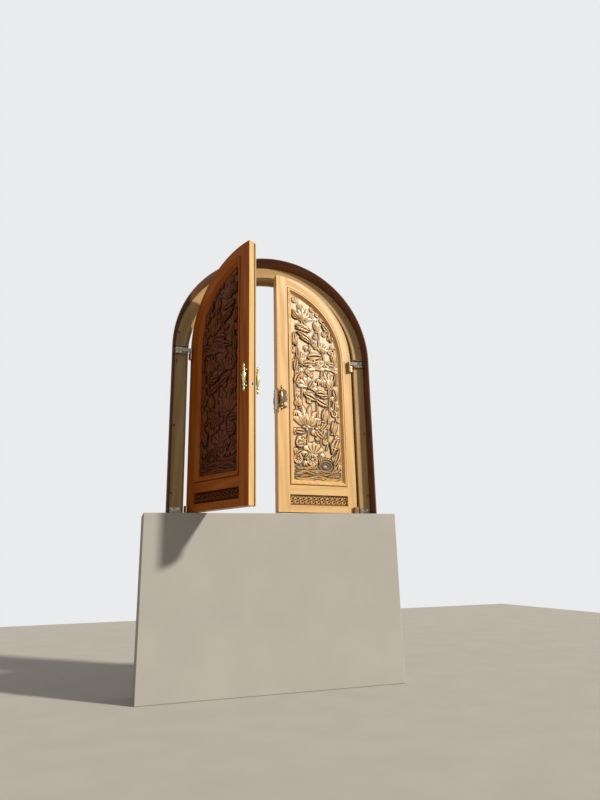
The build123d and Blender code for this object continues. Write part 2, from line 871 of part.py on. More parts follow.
with BuildPart() as fret_panel:
    with BuildSketch(Plane.XZ.offset(-fret_deep)):
        add(fret_field(0))
    extrude(amount=-(ground_deep + panel_thick - fret_deep))
    with BuildSketch(Plane.XZ.offset(-ground_deep - tongue_back)):
        add(fret_field(-tongue_long))
    extrude(amount=-tongue_thick)
    fret_length = stile_inner - meeting_inner
    fret_pitch = fret_length / fret_repeats
    with BuildSketch(Plane.XZ.offset(-fret_deep)):
        with Locations(((meeting_inner + stile_inner) / 2, (fret_foot + mid_foot) / 2)):
            with GridLocations(fret_pitch, 0, fret_repeats, 1):
                Rectangle(fret_bar_wide, fret_bar_long, rotation=fret_slant)
                with Locations((-fret_pitch / 4, fret_rise), (fret_pitch / 4, -fret_rise)):
                    Rectangle(fret_lozenge, fret_lozenge, rotation=45 + fret_slant)
            with GridLocations(0, fret_high - fret_margin * 2, 1, 2):
                Rectangle(fret_length - fret_margin, fret_margin)
    extrude(amount=fret_relief)
save_leaf_pair(fret_panel.part, "fret_panel")


# Knuckles: a barrel on the hinge axis with a leg round to a plate let in to the hinge edge

def knuckle(foot, height, bore_top):
    with BuildPart() as made:
        with BuildSketch(Plane.XY.offset(foot)):
            add(knuckle_section())
        extrude(amount=height)
        with BuildSketch(Plane.XY.offset(foot)):
            with Locations((axis_x, -hinge_out)):
                Circle(pin_r + pin_play)
        extrude(amount=bore_top - foot, mode=Mode.SUBTRACT)
        with BuildSketch(Plane.YZ.offset(leaf_reach)):
            with Locations(*edge_screw_places):
                Circle(screw_r + screw_play)
        extrude(amount=-leg_thick, mode=Mode.SUBTRACT)
    return made.part


save_leaf_pair(knuckle(knuckle_foot, knuckle_high, knuckle_foot + knuckle_high), "upper_knuckle")
save_leaf_pair(knuckle(low_knuckle_foot, low_knuckle_high, pin_top + pin_tail), "lower_knuckle")

with BuildPart() as hinge_screws:
    screws(edge_screw_places, Plane.YZ.offset(leaf_reach))
save_leaf_pair(hinge_screws.part, "hinge_screws")


# Escutcheon plates: scalloped sides and a point at the top and bottom

def plate_outline():
    """Outline of a plate about its own middle."""
    Rectangle(plate_wide - lobe_r, plate_body_high)
    with GridLocations(plate_wide - lobe_r * 2, side_lobe_pitch, 2, 3):
        Circle(lobe_r)
    with GridLocations(*corner_lobe_pitch, 2, 2):
        Circle(lobe_r)
    tip_rise = plate_high / 2 - plate_tip / sqrt(2)
    with Locations((0, tip_rise), (0, -tip_rise)):
        Rectangle(plate_tip, plate_tip, rotation=45)


def cut_plate_holes(plane, depth):
    """Holes behind a plate for its screws, the studs of its pull and the lock cylinder."""
    with BuildSketch(plane) as holes:
        with Locations(*plate_screw_places):
            Circle(screw_r + screw_play)
        with Locations(*pull_stud_places):
            Circle(pull_stud_r + screw_play)
    extrude(holes.sketch, amount=-depth, mode=Mode.SUBTRACT)


def cut_cylinder_hole():
    with BuildSketch(Plane.XZ.offset(plate_thick)) as hole:
        with Locations((lock_mid, lock_height)):
            Circle(cylinder_r + cylinder_play)
    extrude(hole.sketch, amount=-leaf_thick - plate_thick * 2, mode=Mode.SUBTRACT)


with BuildPart() as plain_plate:
    with BuildSketch(Plane.XZ):
        with Locations((plate_mid, plate_height)):
            plate_outline()
    extrude(amount=plate_thick)
    chamfer(plain_plate.faces().sort_by(Axis.Y)[0].edges(), plate_thick / 4)
    cut_plate_holes(Plane.XZ.offset(plate_thick), plate_thick)

with BuildPart() as keyed_plate:
    add(plain_plate.part)
    cut_cylinder_hole()

save_on_right(keyed_plate.part, "right_outer_plate")
save_on_right(mirror(keyed_plate.part, about=leaf_middle), "right_inner_plate")
save_on_left(plain_plate.part, "left_outer_plate")
save_on_left(mirror(plain_plate.part, about=leaf_middle), "left_inner_plate")


# Pulls: a turned grip with a round belly, two rings over its posts and pointed ends

def pull_profile():
    """Upper half of a pull's outline, about its middle."""
    ring_top, ring_foot = pull_posts + pull_ring_high / 2, pull_posts - pull_ring_high / 2
    with BuildSketch() as half:
        with BuildLine():
            Polyline(
                (0, 0), (0, pull_long / 2), (pull_tip_r, pull_long / 2), (pull_bulb_r, pull_bulb_height),
                (pull_waist_r, ring_top), (pull_ring_r, ring_top), (pull_ring_r, ring_foot),
                (pull_neck_r, ring_foot),
            )
            belly = TangentArc((pull_belly_r, 0), (pull_neck_r, ring_foot), tangent=(0, 1))
            Line(belly @ 0, (0, 0))
        make_face()
        tip = half.vertices().filter_by_position(Axis.X, pull_bulb_r, pull_bulb_r)
        fillet(tip, pull_bulb_round)
    return half.sketch


with BuildPart() as pull:
    with BuildSketch(Plane.XZ.offset(pull_out)):
        with Locations((pull_mid, plate_height)):
            add(pull_profile())
    revolve(axis=Axis((pull_mid, -pull_out, 0), (0, 0, 1)))
    mirror(about=Plane.XY.offset(plate_height))
    with BuildSketch(Plane.XZ.offset(plate_thick)):
        with Locations(*pull_stud_places):
            Circle(pull_post_r)
    extrude(amount=pull_out - plate_thick)
    with BuildSketch(Plane.XZ.offset(plate_thick)):
        with Locations(*pull_stud_places):
            Circle(pull_stud_r)
    extrude(amount=-plate_thick - stud_deep)
save_leaf_pair(pull.part, "outer_pull")
save_leaf_pair(mirror(pull.part, about=leaf_middle), "inner_pull")

with BuildPart() as plate_screws:
    screws(plate_screw_places, Plane.XZ.offset(plate_thick))
    mirror(about=leaf_middle)
save_on_right(plate_screws.part, "right_plate_screws")


# Mortise lock in the right leaf

def cut_slot(x_low, x_high, thick, foot, head):
    """A square-cornered slot into the leaf, midway through its thickness."""
    with BuildSketch(leaf_middle) as slot:
        with Locations(((x_low + x_high) / 2, (foot + head) / 2)):
            Rectangle(x_high - x_low, head - foot)
    extrude(slot.sketch, amount=thick / 2, both=True, mode=Mode.SUBTRACT)


def edge_block(x_low, x_high, thick, foot, head):
    """A square block set midway through the leaf's thickness."""
    with BuildSketch(leaf_middle) as block:
        with Locations(((x_low + x_high) / 2, (foot + head) / 2)):
            Rectangle(x_high - x_low, head - foot)
    extrude(block.sketch, amount=thick / 2, both=True)


forend_back = forend_in + forend_thick
bolt_nose = forend_in + bolt_play
case_foot, case_head = plate_height - case_high / 2, plate_height + case_high / 2
forend_foot, forend_head = plate_height - forend_high / 2, plate_height + forend_high / 2
strike_foot, strike_head = lock_height - strike_high / 2, lock_height + strike_high / 2

with BuildPart() as right_meeting_stile:
    add(bare_meeting_stile)
    cut_slot(0, forend_back, forend_wide, forend_foot, forend_head)
    cut_slot(0, case_reach + case_play, case_thick + case_play, case_foot - case_play, case_head + case_play)
    cut_cylinder_hole()
    cut_plate_holes(Plane.XZ, stud_deep + screw_play)
    cut_plate_holes(Plane.XZ.offset(stud_deep + screw_play - leaf_thick), stud_deep + screw_play)
save_on_right(right_meeting_stile.part, "right_meeting_stile")

with BuildPart() as lock_case:
    edge_block(forend_in, forend_back, forend_wide, forend_foot, forend_head)
    edge_block(forend_back, case_reach, case_thick, case_foot, case_head)
    cut_slot(
        0, bolt_nose + bolt_long + bolt_play, bolt_thick + bolt_play * 2,
        lock_height - bolt_high / 2 - bolt_play, lock_height + bolt_high / 2 + bolt_play,
    )
    cut_cylinder_hole()
save_on_right(lock_case.part, "lock_case")

with BuildPart() as lock_bolt:
    edge_block(
        bolt_nose, bolt_nose + bolt_long, bolt_thick, lock_height - bolt_high / 2, lock_height + bolt_high / 2
    )
save_on_right(lock_bolt.part, "lock_bolt")

lock_place = (lock_mid, lock_height)
plug_foot = -plate_thick - rose_thick
with BuildPart() as lock_cylinder:
    with BuildSketch(Plane.XZ.offset(plate_thick)):
        with Locations(lock_place):
            Circle(rose_r)
    extrude(amount=rose_thick)
    chamfer(lock_cylinder.faces().sort_by(Axis.Y)[0].edges(), rose_thick / 2)
    with BuildSketch(Plane.XZ.offset(-plug_foot)):
        with Locations(lock_place):
            Circle(cylinder_r)
    extrude(amount=-leaf_thick - plate_thick + plug_foot)
    with BuildSketch(Plane.XZ.offset(-plug_foot)):
        with Locations(lock_place):
            Circle(plug_r + plug_play)
    extrude(amount=-leaf_thick - plate_thick + plug_foot, mode=Mode.SUBTRACT)
save_on_right(lock_cylinder.part, "lock_cylinder")

turn_foot = leaf_thick + plate_thick + turn_play
with BuildPart() as lock_plug:
    with BuildSketch(Plane.XZ.offset(-plug_foot)):
        with Locations(lock_place):
            Circle(plug_r)
    extrude(amount=plug_foot - turn_foot)
    with BuildSketch(Plane.XZ.offset(-plug_foot)):
        with Locations(lock_place):
            Rectangle(key_slot_wide, key_slot_high)
    extrude(amount=-plug_r, mode=Mode.SUBTRACT)
save_on_right(lock_plug.part, "lock_plug")

with BuildPart() as lock_thumb_turn:
    with BuildSketch(Plane.XZ.offset(-turn_foot)):
        with Locations(lock_place):
            Circle(turn_r)
    extrude(amount=-turn_thick)
    chamfer(lock_thumb_turn.faces().sort_by(Axis.Y)[-1].edges(), turn_thick / 4)
    with BuildSketch(Plane.XZ.offset(-turn_foot - turn_thick)):
        with Locations(lock_place):
            SlotOverall(turn_r * 2 - turn_thick, turn_thick, rotation=90)
    extrude(amount=-turn_grip)
save_on_right(lock_thumb_turn.part, "lock_thumb_turn")


# Strike and edge seal in the left leaf

def edge_seal_outline(play=0.0):
    """Plan of the seal in the meeting edge, with play at the bottom of its groove."""
    front_y = leaf_thick - seal_back
    edge_x = edge_gap + edge_bevel * front_y / leaf_thick
    with BuildSketch() as outline:
        with BuildLine():
            Polyline(
                (edge_x - seal_proud, front_y), (edge_x + seal_deep + play, front_y),
                (edge_x + seal_deep + play, front_y + seal_thick),
                (edge_x - seal_proud, front_y + seal_thick), close=True,
            )
        make_face()
    return outline.sketch


seal_head = arc_top(leaf_reach, meeting_inner)
with BuildPart() as edge_seal:
    with BuildSketch(Plane.XY.offset(sill_gap)):
        add(edge_seal_outline())
    extrude(amount=seal_head - sill_gap)
save_on_left(edge_seal.part, "left_edge_seal")

with BuildPart() as lock_strike:
    edge_block(forend_in, forend_back, forend_wide, strike_foot, strike_head)
    cut_slot(
        0, forend_back, bolt_thick + bolt_play * 2,
        lock_height - bolt_high / 2 - bolt_play, lock_height + bolt_high / 2 + bolt_play,
    )
save_on_left(lock_strike.part, "lock_strike")

guide_screws = [
    (rod_mid, end + way * (guide_plate_in + guide_plate_long * share))
    for end, way in rod_ends for share in guide_screw_shares
]

with BuildPart() as left_meeting_stile:
    add(bare_meeting_stile)
    cut_slot(0, forend_back, forend_wide, strike_foot, strike_head)
    cut_slot(
        0, forend_back + strike_pocket, bolt_thick + bolt_play * 2,
        lock_height - bolt_high / 2 - bolt_play, lock_height + bolt_high / 2 + bolt_play,
    )
    with BuildSketch(Plane.XY.offset(sill_gap)):
        add(edge_seal_outline(tongue_play))
    extrude(amount=seal_head - sill_gap, mode=Mode.SUBTRACT)
    cut_plate_holes(Plane.XZ, stud_deep + screw_play)
    cut_plate_holes(Plane.XZ.offset(stud_deep + screw_play - leaf_thick), stud_deep + screw_play)
    with BuildSketch(Plane.XZ.offset(-leaf_thick)):
        with Locations(*guide_screws):
            Circle(screw_r + screw_play)
    extrude(amount=screw_long, mode=Mode.SUBTRACT)
save_on_left(left_meeting_stile.part, "left_meeting_stile")

with BuildPart() as guide_set:
    screws(guide_screws, Plane.XZ.offset(guide_plate_thick))

with BuildPart() as left_plate_screws:
    screws(plate_screw_places, Plane.XZ.offset(plate_thick))
    mirror(about=leaf_middle)
    mirror(guide_set.part, about=leaf_middle)
save_on_left(left_plate_screws.part, "left_plate_screws")


# Surface bolts: a round rod that slides in two guides on the left leaf's inner face

def rod(end, way):
    """A rod whose working end is at a height, with its body above (1) or below (-1)."""
    with BuildPart() as made:
        with BuildSketch(Plane.XY.offset(end)):
            with Locations((rod_mid, leaf_thick + rod_out)):
                Circle(rod_r)
        extrude(amount=way * rod_long)
        chamfer(made.edges().filter_by(GeomType.CIRCLE), rod_r / 4)
        with BuildSketch(Plane.XZ.offset(-leaf_thick - rod_out)):
            with Locations((rod_mid, end + way * rod_long / 2)):
                Circle(knob_r)
        extrude(amount=-knob_long)
    return made.part


def rod_guide(end, way):
    """Back plate with a guide near each end, for the rod with that working end."""
    near = end + way * guide_plate_in
    with BuildPart() as made:
        with BuildSketch(Plane.XZ.offset(-leaf_thick)):
            with Locations((rod_mid, near + way * guide_plate_long / 2)):
                Rectangle(guide_plate_wide, guide_plate_long)
        extrude(amount=-guide_plate_thick)
        for place in (guide_inset, guide_plate_long - guide_inset):
            with BuildSketch(Plane.XY.offset(near + way * place)):
                with Locations((rod_mid, leaf_thick + rod_out)):
                    Circle(guide_r)
                with Locations((rod_mid, leaf_thick + rod_out / 2)):
                    Rectangle(guide_r * 2, rod_out)
            extrude(amount=guide_high / 2, both=True)
        with BuildSketch(Plane.XY.offset(near)):
            with Locations((rod_mid, leaf_thick + rod_out)):
                Circle(rod_r + rod_play)
        extrude(amount=way * guide_plate_long, mode=Mode.SUBTRACT)
        with BuildSketch(Plane.XZ.offset(-leaf_thick)):
            with Locations(*guide_screws):
                Circle(screw_r + screw_play)
        extrude(amount=-guide_plate_thick, mode=Mode.SUBTRACT)
    return made.part


for name, (end, way) in zip(("top_bolt", "bottom_bolt"), rod_ends):
    save_on_left(rod(end, way), name)
    save_on_left(rod_guide(end, way), name + "_guide")
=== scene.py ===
import json
from math import cos, hypot, pi, radians, sin, sqrt

import bpy
import numpy as np
from mathutils import Matrix, Vector
from mathutils.bvhtree import BVHTree

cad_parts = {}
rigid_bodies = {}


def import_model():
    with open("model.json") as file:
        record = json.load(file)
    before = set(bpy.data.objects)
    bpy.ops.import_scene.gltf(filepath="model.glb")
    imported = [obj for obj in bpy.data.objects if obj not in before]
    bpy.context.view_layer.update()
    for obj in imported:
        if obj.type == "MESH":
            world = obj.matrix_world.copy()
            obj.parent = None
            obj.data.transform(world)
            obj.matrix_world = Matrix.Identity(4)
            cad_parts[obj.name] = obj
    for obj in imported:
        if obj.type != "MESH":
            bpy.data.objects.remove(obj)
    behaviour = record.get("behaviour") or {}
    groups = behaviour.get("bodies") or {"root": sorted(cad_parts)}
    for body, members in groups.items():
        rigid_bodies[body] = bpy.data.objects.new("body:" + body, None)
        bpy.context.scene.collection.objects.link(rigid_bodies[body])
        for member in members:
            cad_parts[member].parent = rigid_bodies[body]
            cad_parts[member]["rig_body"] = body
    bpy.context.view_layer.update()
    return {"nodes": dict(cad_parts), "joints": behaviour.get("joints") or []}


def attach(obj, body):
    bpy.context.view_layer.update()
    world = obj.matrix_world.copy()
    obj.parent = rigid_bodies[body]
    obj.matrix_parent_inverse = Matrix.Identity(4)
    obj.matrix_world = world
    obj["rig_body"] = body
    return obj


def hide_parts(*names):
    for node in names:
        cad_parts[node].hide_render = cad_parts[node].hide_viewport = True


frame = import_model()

# Carved temple door: a round-arched pair of leaves in their own frame, on a plain plinth.
# Metres, as the frame gives them: X to the right, Y in through the doorway, Z up from the sill.
# Leaf pieces are drawn on the right leaf as if closed, then swung or mirrored to their place.

mm = 0.001
archHeight = 1.378                       # the arch's centre over the sill
print("frame loaded:", len(frame["nodes"]), "nodes")


# Where the leaves stand

def leafSwing(name):
    joint = next(joint for joint in frame["joints"] if joint["name"] == name)
    return Vector(joint["pos_m"]), -radians(joint["range_deg"][0]) * joint["axis"][2]


swing = {"right": leafSwing("right_leaf_hinge"), "left": leafSwing("left_leaf_hinge")}


def swungBy(side):
    pivot, turn = swing[side]
    return Matrix.Translation(pivot) @ Matrix.Rotation(turn, 4, "Z") @ Matrix.Translation(-pivot)


leafPlace = {"right": swungBy("right"), "left": swungBy("left") @ Matrix.Diagonal((-1, 1, 1, 1))}


# Tools for modelling

def objectMode():
    if bpy.context.mode != "OBJECT":
        bpy.ops.object.mode_set(mode="OBJECT")


def deselectAll():
    objectMode()
    bpy.ops.object.select_all(action="DESELECT")


def pick(piece):
    deselectAll()
    piece.select_set(True)
    bpy.context.view_layer.objects.active = piece


def editAll(piece):
    pick(piece)
    bpy.ops.object.mode_set(mode="EDIT")
    bpy.ops.mesh.select_all(action="SELECT")


def faceOutward():
    bpy.ops.mesh.select_all(action="SELECT")
    bpy.ops.mesh.normals_make_consistent(inside=False)
    objectMode()


def settle(piece):
    pick(piece)
    bpy.ops.object.transform_apply(location=True, rotation=True, scale=True)


def useModifier(piece, kind, **settings):
    pick(piece)
    modifier = piece.modifiers.new(kind.lower(), kind)
    for key, value in settings.items():
        setattr(modifier, key, value)
    bpy.ops.object.modifier_apply(modifier=modifier.name)


def smoothTo(piece, degrees):
    pick(piece)
    bpy.ops.object.shade_smooth_by_angle(angle=radians(degrees))


def dress(piece, material):
    piece.data.materials.clear()
    piece.data.materials.append(material)


def joined(pieces, name):
    deselectAll()
    for piece in pieces:
        piece.select_set(True)
    bpy.context.view_layer.objects.active = pieces[0]
    bpy.ops.object.join()
    pieces[0].name = name
    return pieces[0]


def copyOf(piece, name):
    twin = piece.copy()
    twin.data = piece.data.copy()
    twin.name = name
    bpy.context.scene.collection.objects.link(twin)
    return twin


def toLeaf(piece, side):
    piece.data.transform(leafPlace[side])
    if side == "left":
        piece.data.flip_normals()
    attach(piece, "leaf_" + side)


# Shader tools

def addNode(tree, kind, x, y, **settings):
    node = tree.nodes.new(kind)
    node.location = (x, y)
    for key, value in settings.items():
        setattr(node, key, value)
    return node


# Another node's socket is linked, anything else is set as the value
def feed(tree, socket, value):
    if isinstance(value, bpy.types.NodeSocket):
        tree.links.new(value, socket)
    else:
        socket.default_value = value


def feedAll(tree, node, values):
    for label, value in values.items():
        feed(tree, node.inputs[label], value)


def calc(tree, operation, x, y, *values, clamp=False):
    node = addNode(tree, "ShaderNodeMath", x, y, operation=operation, use_clamp=clamp)
    for socket, value in zip(node.inputs, values):
        feed(tree, socket, value)
    return node.outputs[0]


# 0 at the value low, 1 at the value high
def between(tree, x, y, value, low, high, **settings):
    node = addNode(tree, "ShaderNodeMapRange", x, y, **settings)
    feedAll(tree, node, {"Value": value, "From Min": low, "From Max": high})
    return node.outputs["Result"]


def blend(tree, x, y, share, first, second):
    node = addNode(tree, "ShaderNodeMix", x, y, data_type="RGBA")
    feedAll(tree, node, {"Factor": share, "A": first, "B": second})
    return node.outputs["Result"]


def addTexture(tree, kind, x, y, place, **values):
    node = addNode(tree, kind, x, y)
    feedAll(tree, node, {"Vector": place, **values})
    return node


def newGroup(name, takes, gives):
    group = bpy.data.node_groups.new(name, "ShaderNodeTree")
    for way, sockets in (("INPUT", takes), ("OUTPUT", gives)):
        for label, kind in sockets.items():
            group.interface.new_socket(name=label, in_out=way, socket_type="NodeSocket" + kind)
    entry = addNode(group, "NodeGroupInput", -900, 0)
    leave = addNode(group, "NodeGroupOutput", 900, 0)
    return group, entry.outputs, leave.inputs


# Grain: fine pores and broad figure, both drawn out along Z
grainSizes = {
    "drawnOut": 0.07, "cloud": 22, "band": 9, "bandShare": 0.45, "figure": (0.35, 1.0), "pore": 420,
    "pores": (0.56, 0.74), "poreShare": 0.5, "poreDepth": 0.6,
}


def makeGrainGroup():
    sizes = grainSizes
    group, given, out = newGroup(
        "woodGrain", {"Place": "Vector", "Pale": "Color", "Dark": "Color", "Figure": "Float"},
        {"Color": "Color", "Height": "Float", "Dull": "Float"},
    )
    stretch = addNode(group, "ShaderNodeVectorMath", -700, 200, operation="MULTIPLY")
    feed(group, stretch.inputs[0], given["Place"])
    feed(group, stretch.inputs[1], (1.0, 1.0, sizes["drawnOut"]))
    place = stretch.outputs[0]
    broad = addTexture(
        group, "ShaderNodeTexNoise", -500, 320, place, Scale=sizes["cloud"], Detail=4, Distortion=0.6
    )
    bands = addTexture(
        group, "ShaderNodeTexWave", -500, 60, place, Scale=sizes["band"], Distortion=7, Detail=3
    )
    bands.bands_direction = "DIAGONAL"
    bands.inputs["Detail Scale"].default_value = 1.4
    pores = addTexture(group, "ShaderNodeTexNoise", -500, -240, place, Scale=sizes["pore"], Detail=3)
    figure = calc(
        group, "MULTIPLY_ADD", -260, 180, bands.outputs["Fac"], sizes["bandShare"], broad.outputs["Fac"]
    )
    level = between(group, -60, 180, figure, *sizes["figure"])
    share = calc(group, "MULTIPLY", 120, 180, level, given["Figure"])
    tone = blend(group, 320, 220, share, given["Pale"], given["Dark"])
    poreMask = between(group, -60, -200, pores.outputs["Fac"], *sizes["pores"])
    poreShare = calc(group, "MULTIPLY", 120, -120, poreMask, sizes["poreShare"])
    feed(group, out["Color"], blend(group, 540, 160, poreShare, tone, given["Dark"]))
    feed(group, out["Height"], calc(group, "MULTIPLY_ADD", 320, -120, poreMask, -sizes["poreDepth"], share))
    feed(group, out["Dull"], level)
    return group


# Run of the grain on an arched member: up the sides, then round the arch about its centre
def makeArchRunGroup():
    takes = {"Place": "Vector", "Centre": "Float", "Radius": "Float"}
    group, given, out = newGroup("archRun", takes, {"Place": "Vector"})
    apart = addNode(group, "ShaderNodeSeparateXYZ", -700, 0)
    feed(group, apart.inputs[0], given["Place"])
    x, y, z = apart.outputs
    rise = calc(group, "SUBTRACT", -500, -100, z, given["Centre"])
    above = calc(group, "MAXIMUM", -300, 0, rise, 0)
    across = calc(group, "MULTIPLY", -500, 200, x, x)
    both = calc(group, "MULTIPLY_ADD", -100, 200, above, above, across)
    outwards = calc(group, "SQRT", 100, 200, both)
    angle = calc(group, "ARCTAN2", -100, -100, x, above)
    below = calc(group, "SUBTRACT", -300, -250, above, rise)
    down = calc(group, "MULTIPLY", -100, -300, below, calc(group, "SIGN", -300, -400, x))
    along = calc(group, "MULTIPLY_ADD", 100, -100, angle, given["Radius"], down)
    together = addNode(group, "ShaderNodeCombineXYZ", 400, 0)
    for socket, value in zip(together.inputs, (outwards, y, along)):
        feed(group, socket, value)
    feed(group, out["Place"], together.outputs[0])
    return group


# Painted shade in the hollows and creases of the carving, standing in for the shade that falls there: from no
# shade to full shade
stainSizes = {"hollows": (0.02, 0.30), "creases": (0.50, 0.40)}


def makeStainGroup():
    takes = {"Color": "Color", "Stain": "Color", "Hollow": "Float", "Amount": "Float", "Pointiness": "Float"}
    group, given, out = newGroup("cavityStain", takes, {"Color": "Color"})
    level = between(
        group, -600, 100, given["Hollow"], *stainSizes["hollows"], interpolation_type="SMOOTHSTEP"
    )
    crease = between(group, -600, -200, given["Pointiness"], *stainSizes["creases"])
    most = calc(group, "MAXIMUM", -200, 0, level, crease)
    share = calc(group, "MULTIPLY", 0, 0, most, given["Amount"], clamp=True)
    feed(group, out["Color"], blend(group, 300, 0, share, given["Color"], given["Stain"]))
    return group


# Tarnish on metal: cloudy dull patches, rubbed away at the edges, and a fine tooth all over
tarnishSizes = {"cloud": 60, "patches": (0.38, 0.66), "rubbed": (0.5, 0.6), "tooth": 900}


def makeTarnishGroup():
    sizes = tarnishSizes
    takes = {"Place": "Vector", "Bright": "Color", "Dull": "Color", "Amount": "Float", "Pointiness": "Float"}
    group, given, out = newGroup("tarnish", takes, {"Color": "Color", "Mask": "Float", "Height": "Float"})
    cloud = addTexture(group, "ShaderNodeTexNoise", -600, 200, given["Place"], Scale=sizes["cloud"], Detail=5)
    fine = addTexture(group, "ShaderNodeTexNoise", -600, -100, given["Place"], Scale=sizes["tooth"])
    patch = between(group, -400, 200, cloud.outputs["Fac"], *sizes["patches"])
    rubbed = between(group, -400, 0, given["Pointiness"], *sizes["rubbed"])
    left = calc(group, "SUBTRACT", -200, 100, patch, rubbed, clamp=True)
    share = calc(group, "MULTIPLY", 0, 100, left, given["Amount"], clamp=True)
    feed(group, out["Color"], blend(group, 300, 100, share, given["Bright"], given["Dull"]))
    feed(group, out["Mask"], share)
    feed(group, out["Height"], fine.outputs["Fac"])
    return group


woodGrain = makeGrainGroup()
archRun = makeArchRunGroup()
cavityStain = makeStainGroup()
tarnish = makeTarnishGroup()


def newMaterial(name):
    material = bpy.data.materials.new(name)
    material.use_nodes = True
    tree = material.node_tree
    return material, tree, tree.nodes["Principled BSDF"]


def placeGroup(tree, group, x, y, **values):
    node = addNode(tree, "ShaderNodeGroup", x, y, node_tree=group)
    feedAll(tree, node, values)
    return node


# Colour, roughness over the mask and fine relief go to the shader; bump is its strength and depth
def finishSurface(tree, shader, color, mask, rough, height, bump):
    roughness = addNode(tree, "ShaderNodeMapRange", -300, -250)
    feedAll(tree, roughness, {"Value": mask, "To Min": rough[0], "To Max": rough[1]})
    relief = addNode(tree, "ShaderNodeBump", -300, -500)
    feedAll(tree, relief, {"Height": height, "Strength": bump[0], "Distance": bump[1]})
    feedAll(tree, shader, {"Base Color": color, "Roughness": roughness.outputs["Result"]})
    feed(tree, shader.inputs["Normal"], relief.outputs["Normal"])


# pale and dark grain, strength of the figure, roughness range, varnish and shine
woodTones = {
    "golden": {
        "pale": (0.86, 0.57, 0.24), "dark": (0.60, 0.33, 0.11), "figure": 0.5, "rough": (0.42, 0.58),
        "coat": 0.10, "shine": 0.5,
    },
    # the left leaf's outer faces: a darker, redder copy of the golden wood, painted shade
    "russet": {
        "pale": (0.64, 0.185, 0.026), "dark": (0.38, 0.085, 0.011), "figure": 0.55, "rough": (0.46, 0.62),
        "coat": 0.02, "shine": 0.14,
    },
    "goldenCarving": {
        "pale": (0.92, 0.61, 0.27), "dark": (0.64, 0.35, 0.12), "figure": 0.4, "rough": (0.26, 0.42),
        "coat": 0.35, "shine": 0.5,
    },
    # the left leaf's carving: a darker copy of the golden carving, painted shade
    "russetCarving": {
        "pale": (0.30, 0.080, 0.018), "dark": (0.165, 0.038, 0.008), "figure": 0.4, "rough": (0.42, 0.58),
        "coat": 0.02, "shine": 0.14,
    },
    "frame": {
        "pale": (0.60, 0.41, 0.17), "dark": (0.38, 0.22, 0.08), "figure": 0.5, "rough": (0.42, 0.56),
        "coat": 0.08, "shine": 0.4,
    },
    "lining": {
        "pale": (0.17, 0.055, 0.035), "dark": (0.075, 0.022, 0.016), "figure": 0.6, "rough": (0.26, 0.42),
        "coat": 0.15, "shine": 0.4,
    },
}
# painted shade colour: the dark brown laid into the hollows and creases of the carving in place of the shade
# that falls there
stainTone = (0.034, 0.013, 0.006)
woodBump = (0.25, 0.0006)
coatRough = 0.18
archRadius = {"leaf": 0.75, "frame": 0.8, "lining": 0.88}


# Varnished wood. The grain runs up, across or round the arch, on a swung leaf or on the fixed frame.
def makeWood(name, tone, run, side=None, radius=archRadius["leaf"], stain=None):
    values = woodTones[tone]
    material, tree, shader = newMaterial(name)
    spot = addNode(tree, "ShaderNodeTexCoord", -1500, 0)
    mapping = addNode(tree, "ShaderNodeMapping", -1300, 0)
    feed(tree, mapping.inputs["Vector"], spot.outputs["Object"])
    if side:                             # the grain follows the leaf as it stands
        pivot, turn = swing[side]
        mapping.inputs["Rotation"].default_value[2] = -turn
        mapping.inputs["Location"].default_value = pivot - Matrix.Rotation(-turn, 3, "Z") @ pivot
    place = mapping.outputs["Vector"]
    if run == "round":
        bent = placeGroup(tree, archRun, -1050, 0, Place=place, Centre=archHeight, Radius=radius)
        place = bent.outputs["Place"]
    if run == "across":
        lying = addNode(tree, "ShaderNodeMapping", -1050, 0)
        lying.inputs["Rotation"].default_value[1] = pi / 2
        feed(tree, lying.inputs["Vector"], place)
        place = lying.outputs["Vector"]
    grain = placeGroup(
        tree, woodGrain, -800, 0, Place=place, Pale=(*values["pale"], 1), Dark=(*values["dark"], 1),
        Figure=values["figure"],
    ).outputs
    color = grain["Color"]
    # painted shade: darkens the carving's hollows and creases, standing in for the shade that falls in them
    if stain:
        hollow = addNode(tree, "ShaderNodeAttribute", -800, -300, attribute_name="hollow")
        geometry = addNode(tree, "ShaderNodeNewGeometry", -800, -500)
        color = placeGroup(
            tree, cavityStain, -500, -100, Color=color, Stain=(*stainTone, 1), Amount=stain,
            Hollow=hollow.outputs["Fac"], Pointiness=geometry.outputs["Pointiness"],
        ).outputs["Color"]
    finishSurface(tree, shader, color, grain["Dull"], values["rough"], grain["Height"], woodBump)
    feedAll(tree, shader, {"Coat Weight": values["coat"], "Coat Roughness": coatRough})
    shader.inputs["Specular IOR Level"].default_value = values["shine"]
    return material


# bright and dull metal, how far the tarnish goes, roughness range
metalTones = {
    "pull": {
        "bright": (0.78, 0.55, 0.23), "dull": (0.40, 0.24, 0.08), "amount": 0.5, "rough": (0.18, 0.36),
    },
    # the right pull: a darker copy of the brass, painted shade and dark reflection
    "shadedPull": {
        "bright": (0.36, 0.23, 0.10), "dull": (0.13, 0.08, 0.035), "amount": 0.85, "rough": (0.24, 0.42),
    },
    "plate": {
        "bright": (0.055, 0.050, 0.042), "dull": (0.022, 0.018, 0.015), "amount": 0.8, "rough": (0.38, 0.56),
    },
    "hinge": {
        "bright": (0.36, 0.20, 0.10), "dull": (0.10, 0.055, 0.03), "amount": 0.8, "rough": (0.28, 0.46),
    },
    "bracket": {
        "bright": (0.24, 0.21, 0.16), "dull": (0.06, 0.048, 0.036), "amount": 0.95, "rough": (0.30, 0.5),
    },
    "steel": {
        "bright": (0.56, 0.56, 0.55), "dull": (0.30, 0.29, 0.28), "amount": 0.5, "rough": (0.24, 0.42),
    },
    "screw": {
        "bright": (0.62, 0.50, 0.30), "dull": (0.28, 0.19, 0.10), "amount": 0.6, "rough": (0.22, 0.42),
    },
}
metalBump = (0.08, 0.0003)


